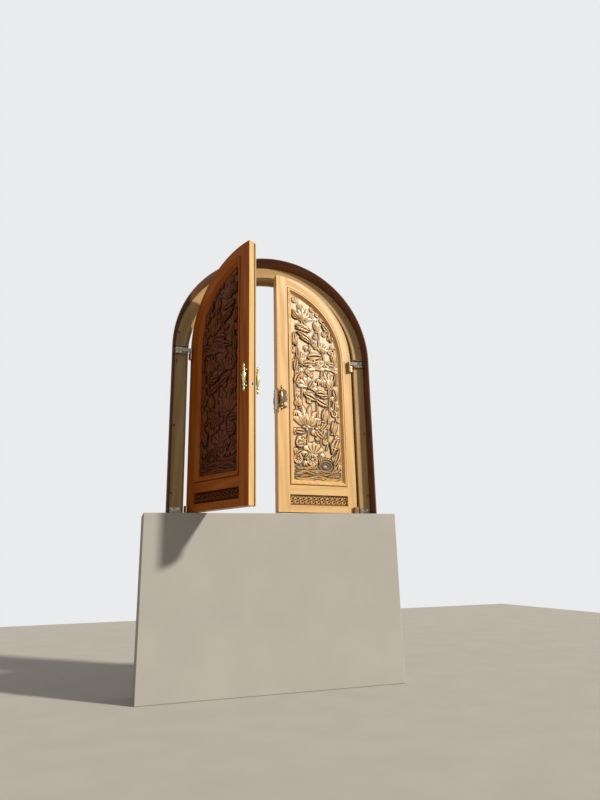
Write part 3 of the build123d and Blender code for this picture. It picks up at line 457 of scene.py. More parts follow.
def makeMetal(name, tone):
    values = metalTones[tone]
    material, tree, shader = newMaterial(name)
    spot = addNode(tree, "ShaderNodeTexCoord", -1000, 0)
    geometry = addNode(tree, "ShaderNodeNewGeometry", -1000, -300)
    worn = placeGroup(
        tree, tarnish, -700, 0, Place=spot.outputs["Object"], Pointiness=geometry.outputs["Pointiness"],
        Bright=(*values["bright"], 1), Dull=(*values["dull"], 1), Amount=values["amount"],
    ).outputs
    finishSurface(tree, shader, worn["Color"], worn["Mask"], values["rough"], worn["Height"], metalBump)
    shader.inputs["Metallic"].default_value = 1.0
    return material


# A ramp from a dark to a pale shade, each with its place, driven by a noise over the piece
def mottled(tree, scale, detail, dark, pale):
    spot = addNode(tree, "ShaderNodeTexCoord", -900, 0)
    cloud = addTexture(
        tree, "ShaderNodeTexNoise", -700, 0, spot.outputs["Object"], Scale=scale, Detail=detail
    )
    ramp = addNode(tree, "ShaderNodeValToRGB", -450, 0)
    for element, (place, shade) in zip(ramp.color_ramp.elements, (dark, pale)):
        element.position = place
        element.color = (*shade, 1)
    feed(tree, ramp.inputs["Fac"], cloud.outputs["Fac"])
    return ramp.outputs["Color"]


rubberTones = {
    "dark": (0.3, (0.012, 0.011, 0.010)), "pale": (0.7, (0.035, 0.032, 0.030)), "speck": 300, "detail": 2,
    "rough": 0.8,
}


def makeRubber(name):
    values = rubberTones
    material, tree, shader = newMaterial(name)
    tone = mottled(tree, values["speck"], values["detail"], values["dark"], values["pale"])
    feedAll(tree, shader, {"Base Color": tone, "Roughness": values["rough"]})
    return material


faceTones = {"right": "golden", "left": "russet"}    # the left leaf's outer face is painted darker and redder: painted shade, as it stands turned away from the light
# how strong the painted shade in the carving's hollows is, on the panels and on the fret
stainAmounts = {"carving": 0.96, "fret": 1.0}
woods = {}
for side, tone in faceTones.items():
    for run in ("up", "across", "round"):
        woods[side, run] = makeWood(f"{side}LeafWood{run.title()}", tone, run, side)
        woods[side, run, "inside"] = makeWood(f"{side}InsideWood{run.title()}", "golden", run, side)
    for kind, word, run in (("carving", "Carved", "up"), ("fret", "Fret", "across")):
        carvedTone = tone + "Carving"
        woods[side, kind] = makeWood(f"{side}{word}Wood", carvedTone, run, side, stain=stainAmounts[kind])
frameWood = makeWood("frameWood", "frame", "round", radius=archRadius["frame"])
liningWood = makeWood("liningWood", "lining", "round", radius=archRadius["lining"])
metals = {tone: makeMetal(tone + "Metal", tone) for tone in metalTones}
sealRubber = makeRubber("sealRubber")
print("materials made:", len(bpy.data.materials))


# Members that keep the frame's shape, with their sharp edges eased

easing = {
    "member": 0.0011, "moulding": 0.0007, "metal": 0.0005, "segments": 2, "sharpFrom": 40,
    "mergeWithin": 0.00002, "flatWithin": 1, "smoothUpTo": 50, "normalWeight": 80,
}


def evenNormals(piece):
    smoothTo(piece, easing["smoothUpTo"])
    useModifier(piece, "WEIGHTED_NORMAL", keep_sharp=True, weight=easing["normalWeight"])


def easedNode(node, ease, material):
    source = frame["nodes"][node]
    piece = bpy.data.objects.new(node + "_eased", source.data.copy())
    bpy.context.scene.collection.objects.link(piece)
    editAll(piece)
    bpy.ops.mesh.remove_doubles(threshold=easing["mergeWithin"])
    bpy.ops.mesh.dissolve_limited(angle_limit=radians(easing["flatWithin"]))
    objectMode()
    useModifier(
        piece, "BEVEL", width=ease, segments=easing["segments"], limit_method="ANGLE",
        angle_limit=radians(easing["sharpFrom"]), use_clamp_overlap=False,
    )
    evenNormals(piece)
    dress(piece, material)
    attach(piece, source["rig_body"])
    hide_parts(node)
    return piece


# The outer tone (on the left leaf a painted shade, a darker copy of the golden wood) goes on to mid-thickness
# on the walls round a sunk panel; the other edges and the inner face keep the golden tone.
sunkWalls = {"inner": 0.105, "outer": 0.665, "foot": 0.06, "deep": 0.041, "outwardFrom": -0.5}


def outwardOf(side):
    turn = swing[side][1]
    return Matrix.Rotation(turn, 3, "Z") @ Vector((0, -1, 0))


def cutMidway(piece, side):
    editAll(piece)
    middle = leafPlace[side] @ Vector((0, sunkWalls["deep"], 0))
    bpy.ops.mesh.bisect(plane_co=middle, plane_no=outwardOf(side))
    objectMode()
    evenNormals(piece)


def onSunkWall(place):
    x, y, z = place
    reach = hypot(x, max(z - archHeight, 0))
    isWithin = x > sunkWalls["inner"] and z > sunkWalls["foot"] and reach < sunkWalls["outer"]
    return isWithin and y < sunkWalls["deep"]


# Faces that look outward by less than least take the inner tone
def keepInside(piece, side, material, least):
    outward = outwardOf(side)
    home = leafPlace[side].inverted()
    piece.data.materials.append(material)
    for face in piece.data.polygons:
        facing = face.normal.dot(outward)
        isWall = facing > sunkWalls["outwardFrom"] and onSunkWall(home @ face.center)
        if facing < least and not isWall:
            face.material_index = 1


leastOutward = {"member": 0.05, "panel": -0.9}
memberRuns = {
    "hinge_stile": "up", "meeting_stile": "up", "arch_rail": "round", "mid_rail": "across",
    "bottom_rail": "across", "panel_moulding": "round",
}
pieceFinishes = {
    "frame_jamb_{}": ("member", frameWood, "frame_wood"),
    "frame_arch_{}": ("member", frameWood, "frame_wood"),
    "lining_jamb_{}": ("member", liningWood, "lining_wood"),
    "lining_arch_{}": ("member", liningWood, "lining_wood"),
    "upper_bracket_{}": ("metal", metals["bracket"], "hinge_metal"),
    "lower_pivot_{}": ("metal", metals["bracket"], "hinge_metal"),
    "{}_upper_knuckle": ("metal", metals["hinge"], "hinge_metal"),
    "{}_lower_knuckle": ("metal", metals["hinge"], "hinge_metal"),
    "{}_outer_plate": ("metal", metals["plate"], "plate_metal"),
    "{}_inner_plate": ("metal", metals["plate"], "plate_metal"),
}
for side in ("right", "left"):
    for member, run in memberRuns.items():
        ease = easing["moulding" if member == "panel_moulding" else "member"]
        piece = easedNode(f"{side}_{member}", ease, woods[side, run])
        cutMidway(piece, side)
        keepInside(piece, side, woods[side, run, "inside"], leastOutward["member"])
    for name, (kind, material, slot) in pieceFinishes.items():
        easedNode(name.format(side), easing[kind], material)
print("members and fittings eased")


# Small parts shown as they are, with their own finish

plainParts = {
    "screw": ["bracket_screws"] + [f"{side}_{kind}_screws" for side in swing for kind in ("hinge", "plate")],
    "steel": [
        "upper_pin_right", "upper_pin_left", "top_bolt", "bottom_bolt", "lock_bolt", "lock_case",
        "lock_strike", "top_bolt_guide", "bottom_bolt_guide",
    ],
    "pull": ["lock_cylinder", "lock_plug", "lock_thumb_turn"],
}
for tone, names in plainParts.items():
    for name in names:
        dress(frame["nodes"][name], metals[tone])
dress(frame["nodes"]["left_edge_seal"], sealRubber)
print("small parts finished")


# Carving: stamps modelled once, then set along curved paths over the panel.
# Places are millimetres right of the centre line and above the leaf's foot, on the closed right leaf.

panelSizes = {
    "ground": 22, "back": 52, "inner": 109.5, "outer": 659.5, "foot": 233.5, "columns": 96, "rows": 304,
    "relief": 1.32, "skirt": 1, "smoothUpTo": 42, "fieldInner": 156.5, "fieldOuter": 611, "fieldFoot": 281,
    "archHeight": 1378, "leafFoot": 8, "backRun": "up",
}
# ribs, lobes and veins of the stamps, and how far a fan opens to each side in degrees
stampForms = {
    "petalRibs": 3, "leafLobes": 9, "leafVeins": 12, "fanOpens": 104, "fanRibs": 7, "padLobes": 9,
    "smallest": 0.001, "seam": 0.0005,
}


def gridStamp(name, across, along, shape):
    deselectAll()
    bpy.ops.mesh.primitive_grid_add(x_subdivisions=across, y_subdivisions=along, size=2)
    stamp = bpy.context.active_object
    stamp.name = name
    for vertex in stamp.data.vertices:
        vertex.co = shape(vertex.co.x, (vertex.co.y + 1) / 2)
    editAll(stamp)
    bpy.ops.mesh.remove_doubles(threshold=stampForms["seam"])
    bpy.ops.mesh.region_to_loop()
    bpy.ops.mesh.extrude_region_move()
    bpy.ops.transform.resize(value=(1, 1, 0), center_override=(0, 0, 0))    # the skirt drops to the ground
    objectMode()
    return stamp


# A stamp's form: u runs across from -1 to 1 and t along from 0 to 1.
# It gives a place in shares of half the width, of the length and of the height.

def petalForm(u, t):
    wide = max(sin(pi * t ** 0.8) ** 0.8, 0.10 * (1 - t) + 0.02)    # the foot never closes
    crown = sqrt(1 - u * u * 0.96)
    swell = 0.5 + 0.5 * sin(pi * (0.1 + 0.85 * t))
    ribs = 0.10 * cos(stampForms["petalRibs"] * pi * u) * (1 - t)
    return Vector((u * wide, t, 0.40 + 0.52 * crown * swell + ribs))


def foldedForm(u, t):
    lobes = 1 + 0.10 * cos(stampForms["leafLobes"] * pi * t)
    wide = max(sin(pi * t ** 0.9) ** 0.7, 0.04) * lobes
    fold = 0.34 + 0.66 * sin(pi * min(abs(u) * 0.85, 1)) ** 0.8     # low along the middle
    veins = 0.09 * cos(stampForms["leafVeins"] * pi * (t - 0.35 * abs(u))) * abs(u)
    return Vector((u * wide, t, fold + veins))


def around(angle, reach, rise):
    return Vector((sin(angle) * reach, cos(angle) * reach, rise))


def fanForm(u, t):
    ribs = cos(stampForms["fanRibs"] * pi * u)
    reach = (0.06 + 0.94 * t) * (1 + 0.07 * ribs * t)
    rise = 0.50 + 0.30 * t + 0.16 * ribs * t - 0.25 * t ** 6
    return around(u * radians(stampForms["fanOpens"]), reach, rise)


def roundForm(u, t):
    lobes = cos(stampForms["padLobes"] * (u * pi))
    reach = max(t, stampForms["smallest"]) * (1 + 0.04 * lobes * t)
    rise = 0.35 + 0.5 * t + 0.10 * lobes * t * (1 - t) * 3 - 0.22 * t ** 8    # turned down at the rim
    return around(u * pi, reach, rise)


def stemForm(u, t):
    return Vector((u, t, 0.30 + 0.70 * sqrt(1 - u * u * 0.9)))


def waveForm(u, t):
    wide = min(1.0, 5 * t + 0.05, 5 * (1 - t) + 0.05)    # full width but for a fifth at each end
    return Vector((u * wide, t, 0.25 + 0.75 * (0.5 - u * 0.5) ** 1.4 * sqrt(wide)))


def domeForm(u, t):
    reach = max(t, stampForms["smallest"])
    return around(u * pi, reach, 0.3 + 0.7 * sqrt(1 - 0.96 * reach * reach))


def ringForm(u, t):
    return around(u * pi, 0.84 + 0.16 * t, 0.25 + 0.75 * sin(pi * t))


# Each path gives the place and the heading at the share t of its length; 0 degrees is straight up

def arcPath(x, z, length, heading, bend=0):
    start = radians(heading)
    turn = radians(bend)

    def along(t):
        ahead = (sin(start + turn * t), cos(start + turn * t))
        if abs(turn) < 0.01:             # as good as straight
            return (x + length * t * ahead[0], z + length * t * ahead[1]), ahead
        reach = length / turn
        return (x + reach * (cos(start) - ahead[1]), z + reach * (ahead[0] - sin(start))), ahead

    return along


def pathThrough(points):
    ends = [Vector(points[0]) * 2 - Vector(points[1])] + [Vector(point) for point in points]
    ends.append(Vector(points[-1]) * 2 - Vector(points[-2]))

    def spot(t):
        spans = len(points) - 1
        span = min(int(t * spans), spans - 1)
        part = t * spans - span
        before, first, second, after = ends[span:span + 4]
        return 0.5 * (
            2 * first + (second - before) * part + (2 * before - 5 * first + 4 * second - after) * part ** 2
            + (3 * first - before - 3 * second + after) * part ** 3
        )

    def along(t):
        ahead = spot(min(t + 0.01, 1)) - spot(max(t - 0.01, 0))
        ahead.normalize()
        return spot(t), ahead

    return along


def inField(x, z):
    sizes = panelSizes
    z += sizes["leafFoot"]
    rise = max(z - sizes["archHeight"], 0)
    reach = hypot(x, rise)
    if reach > sizes["fieldOuter"]:
        x, rise = x * sizes["fieldOuter"] / reach, rise * sizes["fieldOuter"] / reach
        z = sizes["archHeight"] + rise if rise else z
    return max(x, sizes["fieldInner"]), max(z, sizes["fieldFoot"])


def asGiven(x, z):
    return x, z


def setAlong(kind, path, width, height, keepIn=inField, ground=panelSizes["ground"]):
    piece = copyOf(stamps[kind], kind + "Set")
    for vertex in piece.data.vertices:
        across, along, rise = vertex.co
        (x, z), (aheadX, aheadZ) = path(along)
        x, z = keepIn(x + across * width / 2 * aheadZ, z - across * width / 2 * aheadX)
        lift = rise * height * panelSizes["relief"] if rise > 0 else -panelSizes["skirt"]
        vertex.co = Vector((x, ground - lift, z)) * mm
    return piece


def setRound(kind, x, z, size, height, tall=1):
    return setAlong(kind, arcPath(x, z, size * tall / 2, 0), size, height)


stampGrids = {
    "petal": (8, 12, petalForm), "folded": (12, 22, foldedForm), "fan": (28, 6, fanForm),
    "round": (36, 6, roundForm), "stem": (4, 26, stemForm), "wave": (5, 44, waveForm),
    "dome": (12, 4, domeForm), "ring": (40, 4, ringForm),
}
stamps = {kind: gridStamp(kind, *grid) for kind, grid in stampGrids.items()}

# flowers: base x, base z, length, petal width, heading, half spread
# buds: foot x, foot z, length, width, heading; folded leaves have a bend after it
# fans and sprigs: foot x, foot z, size, heading; rounds and ripples: middle x, middle z, size
# stems: the points that each runs through; waves: points and width
carvingPlan = {
    "flowers": (
        (262, 1722, 138, 50, 14, 66), (458, 1440, 94, 38, 8, 66), (248, 1298, 122, 36, -8, 44),
        (512, 1104, 158, 48, -6, 50), (284, 738, 204, 66, 0, 68),
    ),
    "buds": (
        (410, 1636, 114, 70, -2), (574, 1358, 102, 60, 2), (458, 796, 120, 62, 12), (548, 690, 118, 54, 6),
        (228, 905, 98, 56, -20),
    ),
    "folded": (
        (196, 1668, 150, 62, 96, 24), (196, 1640, 140, 40, 74, 40), (204, 1606, 168, 44, 104, 26),
        (236, 1560, 130, 34, 100, 30), (178, 1596, 130, 42, 180, -20), (552, 1668, 116, 54, 186, -20),
        (302, 1372, 160, 58, 70, 24), (268, 1024, 128, 54, 100, 24), (372, 1000, 150, 50, 124, -18),
        (584, 646, 150, 58, 214, -24), (376, 716, 104, 46, 150, -30), (596, 556, 164, 44, 182, 40),
        (250, 1296, 150, 46, 62, 40), (300, 1330, 150, 50, 84, -30), (470, 1040, 90, 50, -70, -40),
        (170, 690, 96, 44, 84, 20), (176, 1240, 120, 40, 20, -30), (560, 1096, 96, 48, 150, 30),
        (352, 1160, 96, 40, 196, 30), (180, 1120, 110, 44, 12, 30), (500, 1330, 96, 44, 74, 40),
        (430, 650, 90, 40, 20, -30), (480, 770, 96, 40, -150, 30), (510, 600, 96, 36, 140, -40),
        (166, 1816, 104, 28, 158, -30), (156, 1772, 84, 26, 138, -40), (470, 1720, 110, 40, 150, -20),
        (184, 560, 90, 44, 60, 40), (236, 520, 80, 36, 250, -40), (392, 500, 90, 32, 160, 30),
        (300, 520, 86, 30, 200, 30), (430, 1010, 90, 38, 60, 40), (560, 990, 110, 40, 170, 20),
        (168, 1480, 110, 36, 20, -30), (206, 1450, 120, 34, 172, 20), (590, 1250, 110, 34, 178, 14),
    ),
    "fans": (
        (388, 1268, 84, -8), (342, 494, 104, 4), (300, 1092, 92, 8), (546, 1276, 72, 10), (420, 688, 62, -20),
    ),
    "rounds": ((330, 448, 104), (196, 450, 84), (564, 872, 58), (212, 590, 70)),
    "sprigs": (
        (180, 1890, 62, 20), (216, 1850, 56, 70), (344, 1836, 60, 60), (396, 1806, 62, 90),
        (440, 1764, 62, 110), (336, 1776, 56, 60), (500, 1664, 62, 150), (540, 1610, 62, 170),
        (560, 1520, 60, 160), (410, 1470, 50, -50), (520, 1460, 64, 100), (180, 1400, 64, -10),
        (190, 1340, 60, 200), (232, 1262, 64, 160), (286, 1250, 60, 120), (204, 1196, 62, 30),
        (250, 1180, 60, -30), (316, 1196, 60, 40), (232, 1120, 58, -60), (350, 1096, 60, 110),
        (262, 1070, 56, 170), (210, 1040, 60, 200), (186, 960, 56, 160), (292, 960, 60, 60),
        (330, 1040, 54, 160), (540, 1030, 60, 160), (590, 1150, 60, 10), (470, 1176, 60, -40),
        (590, 960, 56, 180), (520, 920, 60, 120), (590, 800, 56, 30), (500, 730, 58, -30),
        (440, 740, 56, 40), (400, 760, 56, 0), (330, 700, 56, 120), (170, 870, 54, 190),
        (186, 700, 56, 240), (190, 630, 60, 110), (236, 600, 54, 60), (176, 540, 56, 190),
        (260, 560, 56, 120), (450, 590, 60, 30), (400, 620, 54, -30), (560, 640, 60, 70),
        (600, 420, 60, 200), (540, 440, 60, 20), (250, 430, 54, 140), (396, 440, 54, 20),
        (444, 1360, 58, 160), (476, 1300, 58, 20), (420, 1180, 60, 190), (400, 1560, 54, -20),
        (480, 1600, 60, 20), (300, 1480, 56, 190), (380, 1480, 54, 0),
    ),
    "stems": (
        ((425, 1640), (432, 1580), (424, 1530), (440, 1450)), ((276, 1716), (300, 1680), (352, 1640)),
        ((352, 1560), (328, 1470), (344, 1404), (330, 1340)),
        ((462, 1430), (472, 1340), (440, 1220), (452, 1120)),
        ((510, 1104), (516, 960), (500, 800), (488, 620), (470, 540)), ((388, 1000), (392, 860), (384, 722)),
        ((284, 738), (298, 680), (286, 590), (300, 520)), ((188, 1240), (176, 1080), (190, 880), (180, 800)),
        ((428, 700), (418, 590), (430, 500), (420, 440)), ((240, 1180), (246, 1060), (236, 950)),
        ((574, 1358), (590, 1280), (572, 1180)), ((340, 494), (352, 440), (346, 390)),
    ),
    "waves": (
        (((160, 292), (260, 276), (380, 300), (500, 280), (606, 290)), 26),
        (((160, 318), (250, 338), (370, 312), (490, 318), (606, 340)), 26),
        (((166, 352), (280, 340), (400, 350), (520, 334), (608, 382)), 26),
        (((162, 386), (250, 368), (330, 384), (392, 366)), 22),
        (((540, 372), (580, 400), (606, 450)), 24), (((470, 300), (530, 312), (606, 318)), 18),
        (((200, 300), (280, 312), (340, 292)), 16),
    ),
    "ripples": ((460, 396, 66), (460, 396, 132), (460, 396, 196)),
}
formSizes = {
    "stemWide": 11, "stemLift": 7, "waveLift": 10, "rippleLift": 6, "rippleTall": 0.72, "foldedLift": 12,
    "fanLift": 12,
}


# Small leaves under a flower or a bud, turned back from its heading
def carveSepals(x, z, length, width, heading, sizes):
    pieces = []
    for side in sizes["sepals"]:
        turned = heading + 180 + side * sizes["sepalTurn"]
        long = length * sizes["sepalLong"]
        path = arcPath(x, z + sizes["sepalRise"], long, turned, side * sizes["sepalBend"])
        pieces.append(setAlong("petal", path, width * sizes["sepalWide"], sizes["sepalLift"]))
    return pieces


# rings from the back to the front: petals, then their length, spread, width and lift
flowerSizes = {
    "rings": ((6, 1.0, 1.0, 1.0, 7.5), (4, 0.84, 0.62, 1.0, 10), (2, 0.78, 0.2, 1.1, 12.5)),
    "sideShorter": 0.2, "leanAtFoot": 0.62, "leanInBend": 0.6, "heart": (0.62, 0.95, 15), "heartDrop": 4,
    "sepals": (-1, 0, 1), "sepalTurn": 50, "sepalBend": 40, "sepalLong": 0.24, "sepalWide": 0.42,
    "sepalLift": 9, "sepalRise": 8,
}


def carveFlower(x, z, length, width, heading, spread):
    sizes = flowerSizes
    pieces = []
    for count, long, opened, wide, lift in sizes["rings"]:
        for step in range(count):
            share = 2 * step / (count - 1) - 1
            lean = spread * share * opened
            reach = length * long * (1 - sizes["sideShorter"] * abs(share))
            path = arcPath(x, z, reach, heading + lean * sizes["leanAtFoot"], lean * sizes["leanInBend"])
            pieces.append(setAlong("petal", path, width * wide, lift))
    long, wide, lift = sizes["heart"]
    path = arcPath(x, z - sizes["heartDrop"], length * long, heading)
    pieces.append(setAlong("petal", path, width * wide, lift))
    return pieces + carveSepals(x, z, length, width, heading, sizes)


budSizes = {
    "sideTurn": 22, "sideBend": 34, "sideWide": 0.62, "sideLift": 11, "heart": (0.88, 0.56, 15),
    "sepals": (-1, 1), "sepalTurn": 34, "sepalBend": 50, "sepalLong": 0.26, "sepalWide": 0.3,
    "sepalLift": 9, "sepalRise": 6,
}


def carveBud(x, z, length, width, heading):
    sizes = budSizes
    pieces = []
    for side in (-1, 1):
        path = arcPath(x, z, length, heading + side * sizes["sideTurn"], -side * sizes["sideBend"])
        pieces.append(setAlong("petal", path, width * sizes["sideWide"], sizes["sideLift"]))
    long, wide, lift = sizes["heart"]
    pieces.append(setAlong("petal", arcPath(x, z, length * long, heading), width * wide, lift))
    return pieces + carveSepals(x, z, length, width, heading, sizes)


# leaves: turn and length; each lies lower by a little for every degree that it turns
sprigSizes = {
    "leaves": ((-46, 0.8), (46, 0.8), (0, 1.0)), "bend": 0.7, "wide": 0.36, "lift": 9.5, "lower": 0.03,
}


def carveSprig(x, z, size, heading):
    sizes = sprigSizes
    pieces = []
    for turn, share in sizes["leaves"]:
        path = arcPath(x, z, size * share, heading + turn, -turn * sizes["bend"])
        lift = sizes["lift"] - abs(turn) * sizes["lower"]
        pieces.append(setAlong("petal", path, size * sizes["wide"], lift))
    return pieces


roundSizes = {"lift": 11, "heart": 0.32, "heartLift": 12, "seeds": 6, "seed": 0.18, "seedAway": 0.26}


def carveRound(x, z, size):
    sizes = roundSizes
    pieces = [
        setRound("round", x, z, size, sizes["lift"]),
        setRound("dome", x, z, size * sizes["heart"], sizes["heartLift"]),
    ]
    away = size * sizes["seedAway"]
    for step in range(sizes["seeds"]):
        turn = radians(step * 360 / sizes["seeds"])
        spot = (x + sin(turn) * away, z + cos(turn) * away)
        pieces.append(setRound("dome", *spot, size * sizes["seed"], sizes["lift"]))
    return pieces


def carveForms():
    plan = carvingPlan
    sizes = formSizes
    pieces = []
    for points in plan["stems"]:
        pieces.append(setAlong("stem", pathThrough(points), sizes["stemWide"], sizes["stemLift"]))
    for points, width in plan["waves"]:
        pieces.append(setAlong("wave", pathThrough(points), width, sizes["waveLift"]))
    for spot in plan["ripples"]:
        pieces.append(setRound("ring", *spot, sizes["rippleLift"], sizes["rippleTall"]))
    for spot in plan["sprigs"]:
        pieces += carveSprig(*spot)
    for x, z, length, width, heading, bend in plan["folded"]:
        pieces.append(setAlong("folded", arcPath(x, z, length, heading, bend), width, sizes["foldedLift"]))
    for x, z, size, heading in plan["fans"]:
        pieces.append(setAlong("fan", arcPath(x, z, size, heading), size * 2, sizes["fanLift"]))
    for spot in plan["rounds"]:
        pieces += carveRound(*spot)
    for flower in plan["flowers"]:
        pieces += carveFlower(*flower)
    for bud in plan["buds"]:
        pieces += carveBud(*bud)
    return pieces


# A board with a fine face, its top edge given by a rule
def makeBoard(sizes, topAt):
    deselectAll()
    bpy.ops.mesh.primitive_grid_add(x_subdivisions=sizes["columns"], y_subdivisions=sizes["rows"], size=2)
    board = bpy.context.active_object
    for vertex in board.data.vertices:
        x = sizes["inner"] + (sizes["outer"] - sizes["inner"]) * (vertex.co.x + 1) / 2
        z = sizes["foot"] + (topAt(x) - sizes["foot"]) * (vertex.co.y + 1) / 2
        vertex.co = Vector((x, sizes["ground"], z)) * mm
    editAll(board)
    bpy.ops.mesh.region_to_loop()
    thick = (sizes["back"] - sizes["ground"]) * mm
    bpy.ops.mesh.extrude_region_move(TRANSFORM_OT_translate={"value": (0, thick, 0)})
    bpy.ops.mesh.edge_face_add()
    faceOutward()
    return board


# averages of the surface round a point: reach in cells, depth that counts as full, share of the mask
hollowSizes = {"cell": 3.0, "castFrom": -40, "lowest": -1.5, "averages": ((3, 1.1, 0.75), (7, 5, 0.25))}


def blurred(heights, reach):
    window = 2 * reach + 1
    for axis in (0, 1):
        edges = [(reach, reach) if side == axis else (0, 0) for side in (0, 1)]
        padded = np.pad(heights, edges, mode="edge")
        count = heights.shape[axis]
        heights = sum(np.take(padded, range(shift, shift + count), axis) for shift in range(window)) / window
    return heights


# How deep each point lies among its neighbours, kept as an attribute for the painted shade in the hollows
def markHollows(piece, sizes):
    mesh = piece.data
    cell, castFrom = hollowSizes["cell"], hollowSizes["castFrom"]
    tree = BVHTree.FromPolygons(
        [vertex.co for vertex in mesh.vertices], [face.vertices for face in mesh.polygons]
    )
    top = max(vertex.co.z for vertex in mesh.vertices) / mm
    columns = int((sizes["outer"] - sizes["inner"]) / cell) + 1
    rows = int((top - sizes["foot"]) / cell) + 1
    heights = np.zeros((rows, columns))
    for row in range(rows):
        for column in range(columns):
            spot = Vector((sizes["inner"] + column * cell, castFrom, sizes["foot"] + row * cell)) * mm
            hit = tree.ray_cast(spot, Vector((0, 1, 0)))[0]
            heights[row, column] = (sizes["ground"] - hit.y / mm) if hit else 0
    soft = [(blurred(heights, reach), depth, share) for reach, depth, share in hollowSizes["averages"]]
    mask = mesh.attributes.new("hollow", "FLOAT", "POINT")
    for vertex in mesh.vertices:
        column = min(max(round((vertex.co.x / mm - sizes["inner"]) / cell), 0), columns - 1)
        row = min(max(round((vertex.co.z / mm - sizes["foot"]) / cell), 0), rows - 1)
        lift = sizes["ground"] - vertex.co.y / mm
        hollow = sum(share * ((level[row, column] - lift) / depth) for level, depth, share in soft)
        mask.data[vertex.index].value = min(max(hollow, 0), 1) if lift > hollowSizes["lowest"] else 0


# Both leaves get the same carving, the left one mirrored
def finishPanel(pieces, node, kind, sizes):
    for piece in pieces:
        smoothTo(piece, panelSizes["smoothUpTo"])
    panel = joined(pieces, f"right_{node}_carving")
    markHollows(panel, sizes)
    for side in ("left", "right"):
        piece = copyOf(panel, f"left_{node}_carving") if side == "left" else panel
        dress(piece, woods[side, kind])
        toLeaf(piece, side)
        keepInside(piece, side, woods[side, sizes["backRun"], "inside"], leastOutward["panel"])
        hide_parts(side + "_" + node)


def makeCarvedPanels():
    sizes = panelSizes
    board = makeBoard(sizes, lambda x: sizes["archHeight"] + sqrt(max(sizes["outer"] ** 2 - x * x, 0)))
    finishPanel([board] + carveForms(), "carved_panel", "carving", sizes)


# Fret: a row of leaning scrolls with small leaves between two plain bars, on a sunk ground
fretSizes = {
    "ground": 29, "back": 52, "inner": 109.5, "outer": 659.5, "foot": 68.5, "top": 153.5, "columns": 138,
    "rows": 22, "repeats": 11, "bandWide": 9.5, "relief": 11.5, "barWide": 4, "barInset": 9,
    "scrollSize": 1.1, "scrollWide": 1.2, "scrollLean": 0.16, "leafLong": 32, "leafWide": 15, "leafAway": 2,
    "leafTurn": 14, "leafBend": 30, "backRun": "across",
}
fretScroll = (
    (5, 7), (10, 5), (13, 12), (9, 21), (-1, 23), (-9, 15), (-6, 5), (0, 0), (6, -5), (9, -15), (1, -23),
    (-9, -21), (-13, -12), (-10, -5), (-5, -7),
)


def setOnFret(kind, path, width):
    return setAlong(kind, path, width, fretSizes["relief"], asGiven, fretSizes["ground"])


def makeFretPanels():
    sizes = fretSizes
    pieces = [makeBoard(sizes, lambda x: sizes["top"])]
    middle = (sizes["foot"] + sizes["top"]) / 2
    pitch = (sizes["outer"] - sizes["inner"]) / sizes["repeats"]
    size, wide, lean = sizes["scrollSize"], sizes["scrollWide"], sizes["scrollLean"]
    for place in range(sizes["repeats"]):
        across = sizes["inner"] + pitch * (place + 0.5)
        scroll = [(across + (x * wide + z * lean) * size, middle + z * size) for x, z in fretScroll]
        pieces.append(setOnFret("stem", pathThrough(scroll), sizes["bandWide"]))
        for side in (-1, 1):
            away, bend = side * sizes["leafAway"], side * sizes["leafBend"]
            heading = 90 - 90 * side + sizes["leafTurn"]
            leaf = arcPath(across + pitch / 2 - away, middle + away, sizes["leafLong"], heading, bend)
            pieces.append(setOnFret("petal", leaf, sizes["leafWide"]))
    inset = sizes["barInset"]
    for rise in (sizes["foot"] + inset, sizes["top"] - inset):
        bar = pathThrough([(sizes["inner"] + inset, rise), (sizes["outer"] - inset, rise)])
        pieces.append(setOnFret("stem", bar, sizes["barWide"]))
    finishPanel(pieces, "fret_panel", "fret", sizes)


makeCarvedPanels()
makeFretPanels()
for stamp in stamps.values():
    bpy.data.objects.remove(stamp)


# Pulls: turned on the lathe from a list of heights and radii, with a post to each ring

pullSizes = {
    "middle": (26, -30, 965), "sides": 32, "postHeights": (-64, 64), "leafThick": 80, "smoothUpTo": 50,
    "turning": (
        (0, 14), (8, 13.9), (17, 13.3), (26, 12.2), (35, 10.8), (43, 9.3), (49, 8.1), (53, 7.5), (54.5, 7.6),
        (55.5, 9.0), (57, 9.6), (58.4, 9.0), (58.6, 10.6), (59.6, 11.7), (61.5, 12), (66.5, 12), (68.4, 11.7),
        (69.4, 10.6), (69.7, 8.2), (71.5, 8.6), (73, 8.0), (74, 6.4), (77, 6.0), (81, 6.7), (85, 8.2),
        (89, 9.3), (92, 9.5), (95.5, 9.2), (99, 8.2), (103, 6.4), (107, 4.6), (110, 3.4), (112, 2.4),
        (112.5, 1.2),
    ),
    "post": ((-25.5, 9.2), (-23.6, 9.0), (-22.6, 7.4), (-20, 6.0), (-17, 5.5), (0, 5.5)),
}
pullTones = {"right": "shadedPull", "left": "pull"}    # the right pull is painted darker: painted shade and dark reflection


def turnedPiece(name, turning):
    deselectAll()
    height, radius = turning[0]
    bpy.ops.mesh.primitive_circle_add(
        vertices=pullSizes["sides"], radius=radius * mm, fill_type="NGON", location=(0, 0, height * mm)
    )
    piece = bpy.context.active_object
    piece.name = name
    settle(piece)
    editAll(piece)
    for nextHeight, nextRadius in turning[1:]:
        rise = (nextHeight - height) * mm
        bpy.ops.mesh.extrude_region_move(TRANSFORM_OT_translate={"value": (0, 0, rise)})
        share = nextRadius / radius
        bpy.ops.transform.resize(value=(share, share, 1), center_override=(0, 0, nextHeight * mm))
        height, radius = nextHeight, nextRadius
    faceOutward()
    smoothTo(piece, pullSizes["smoothUpTo"])
    return piece


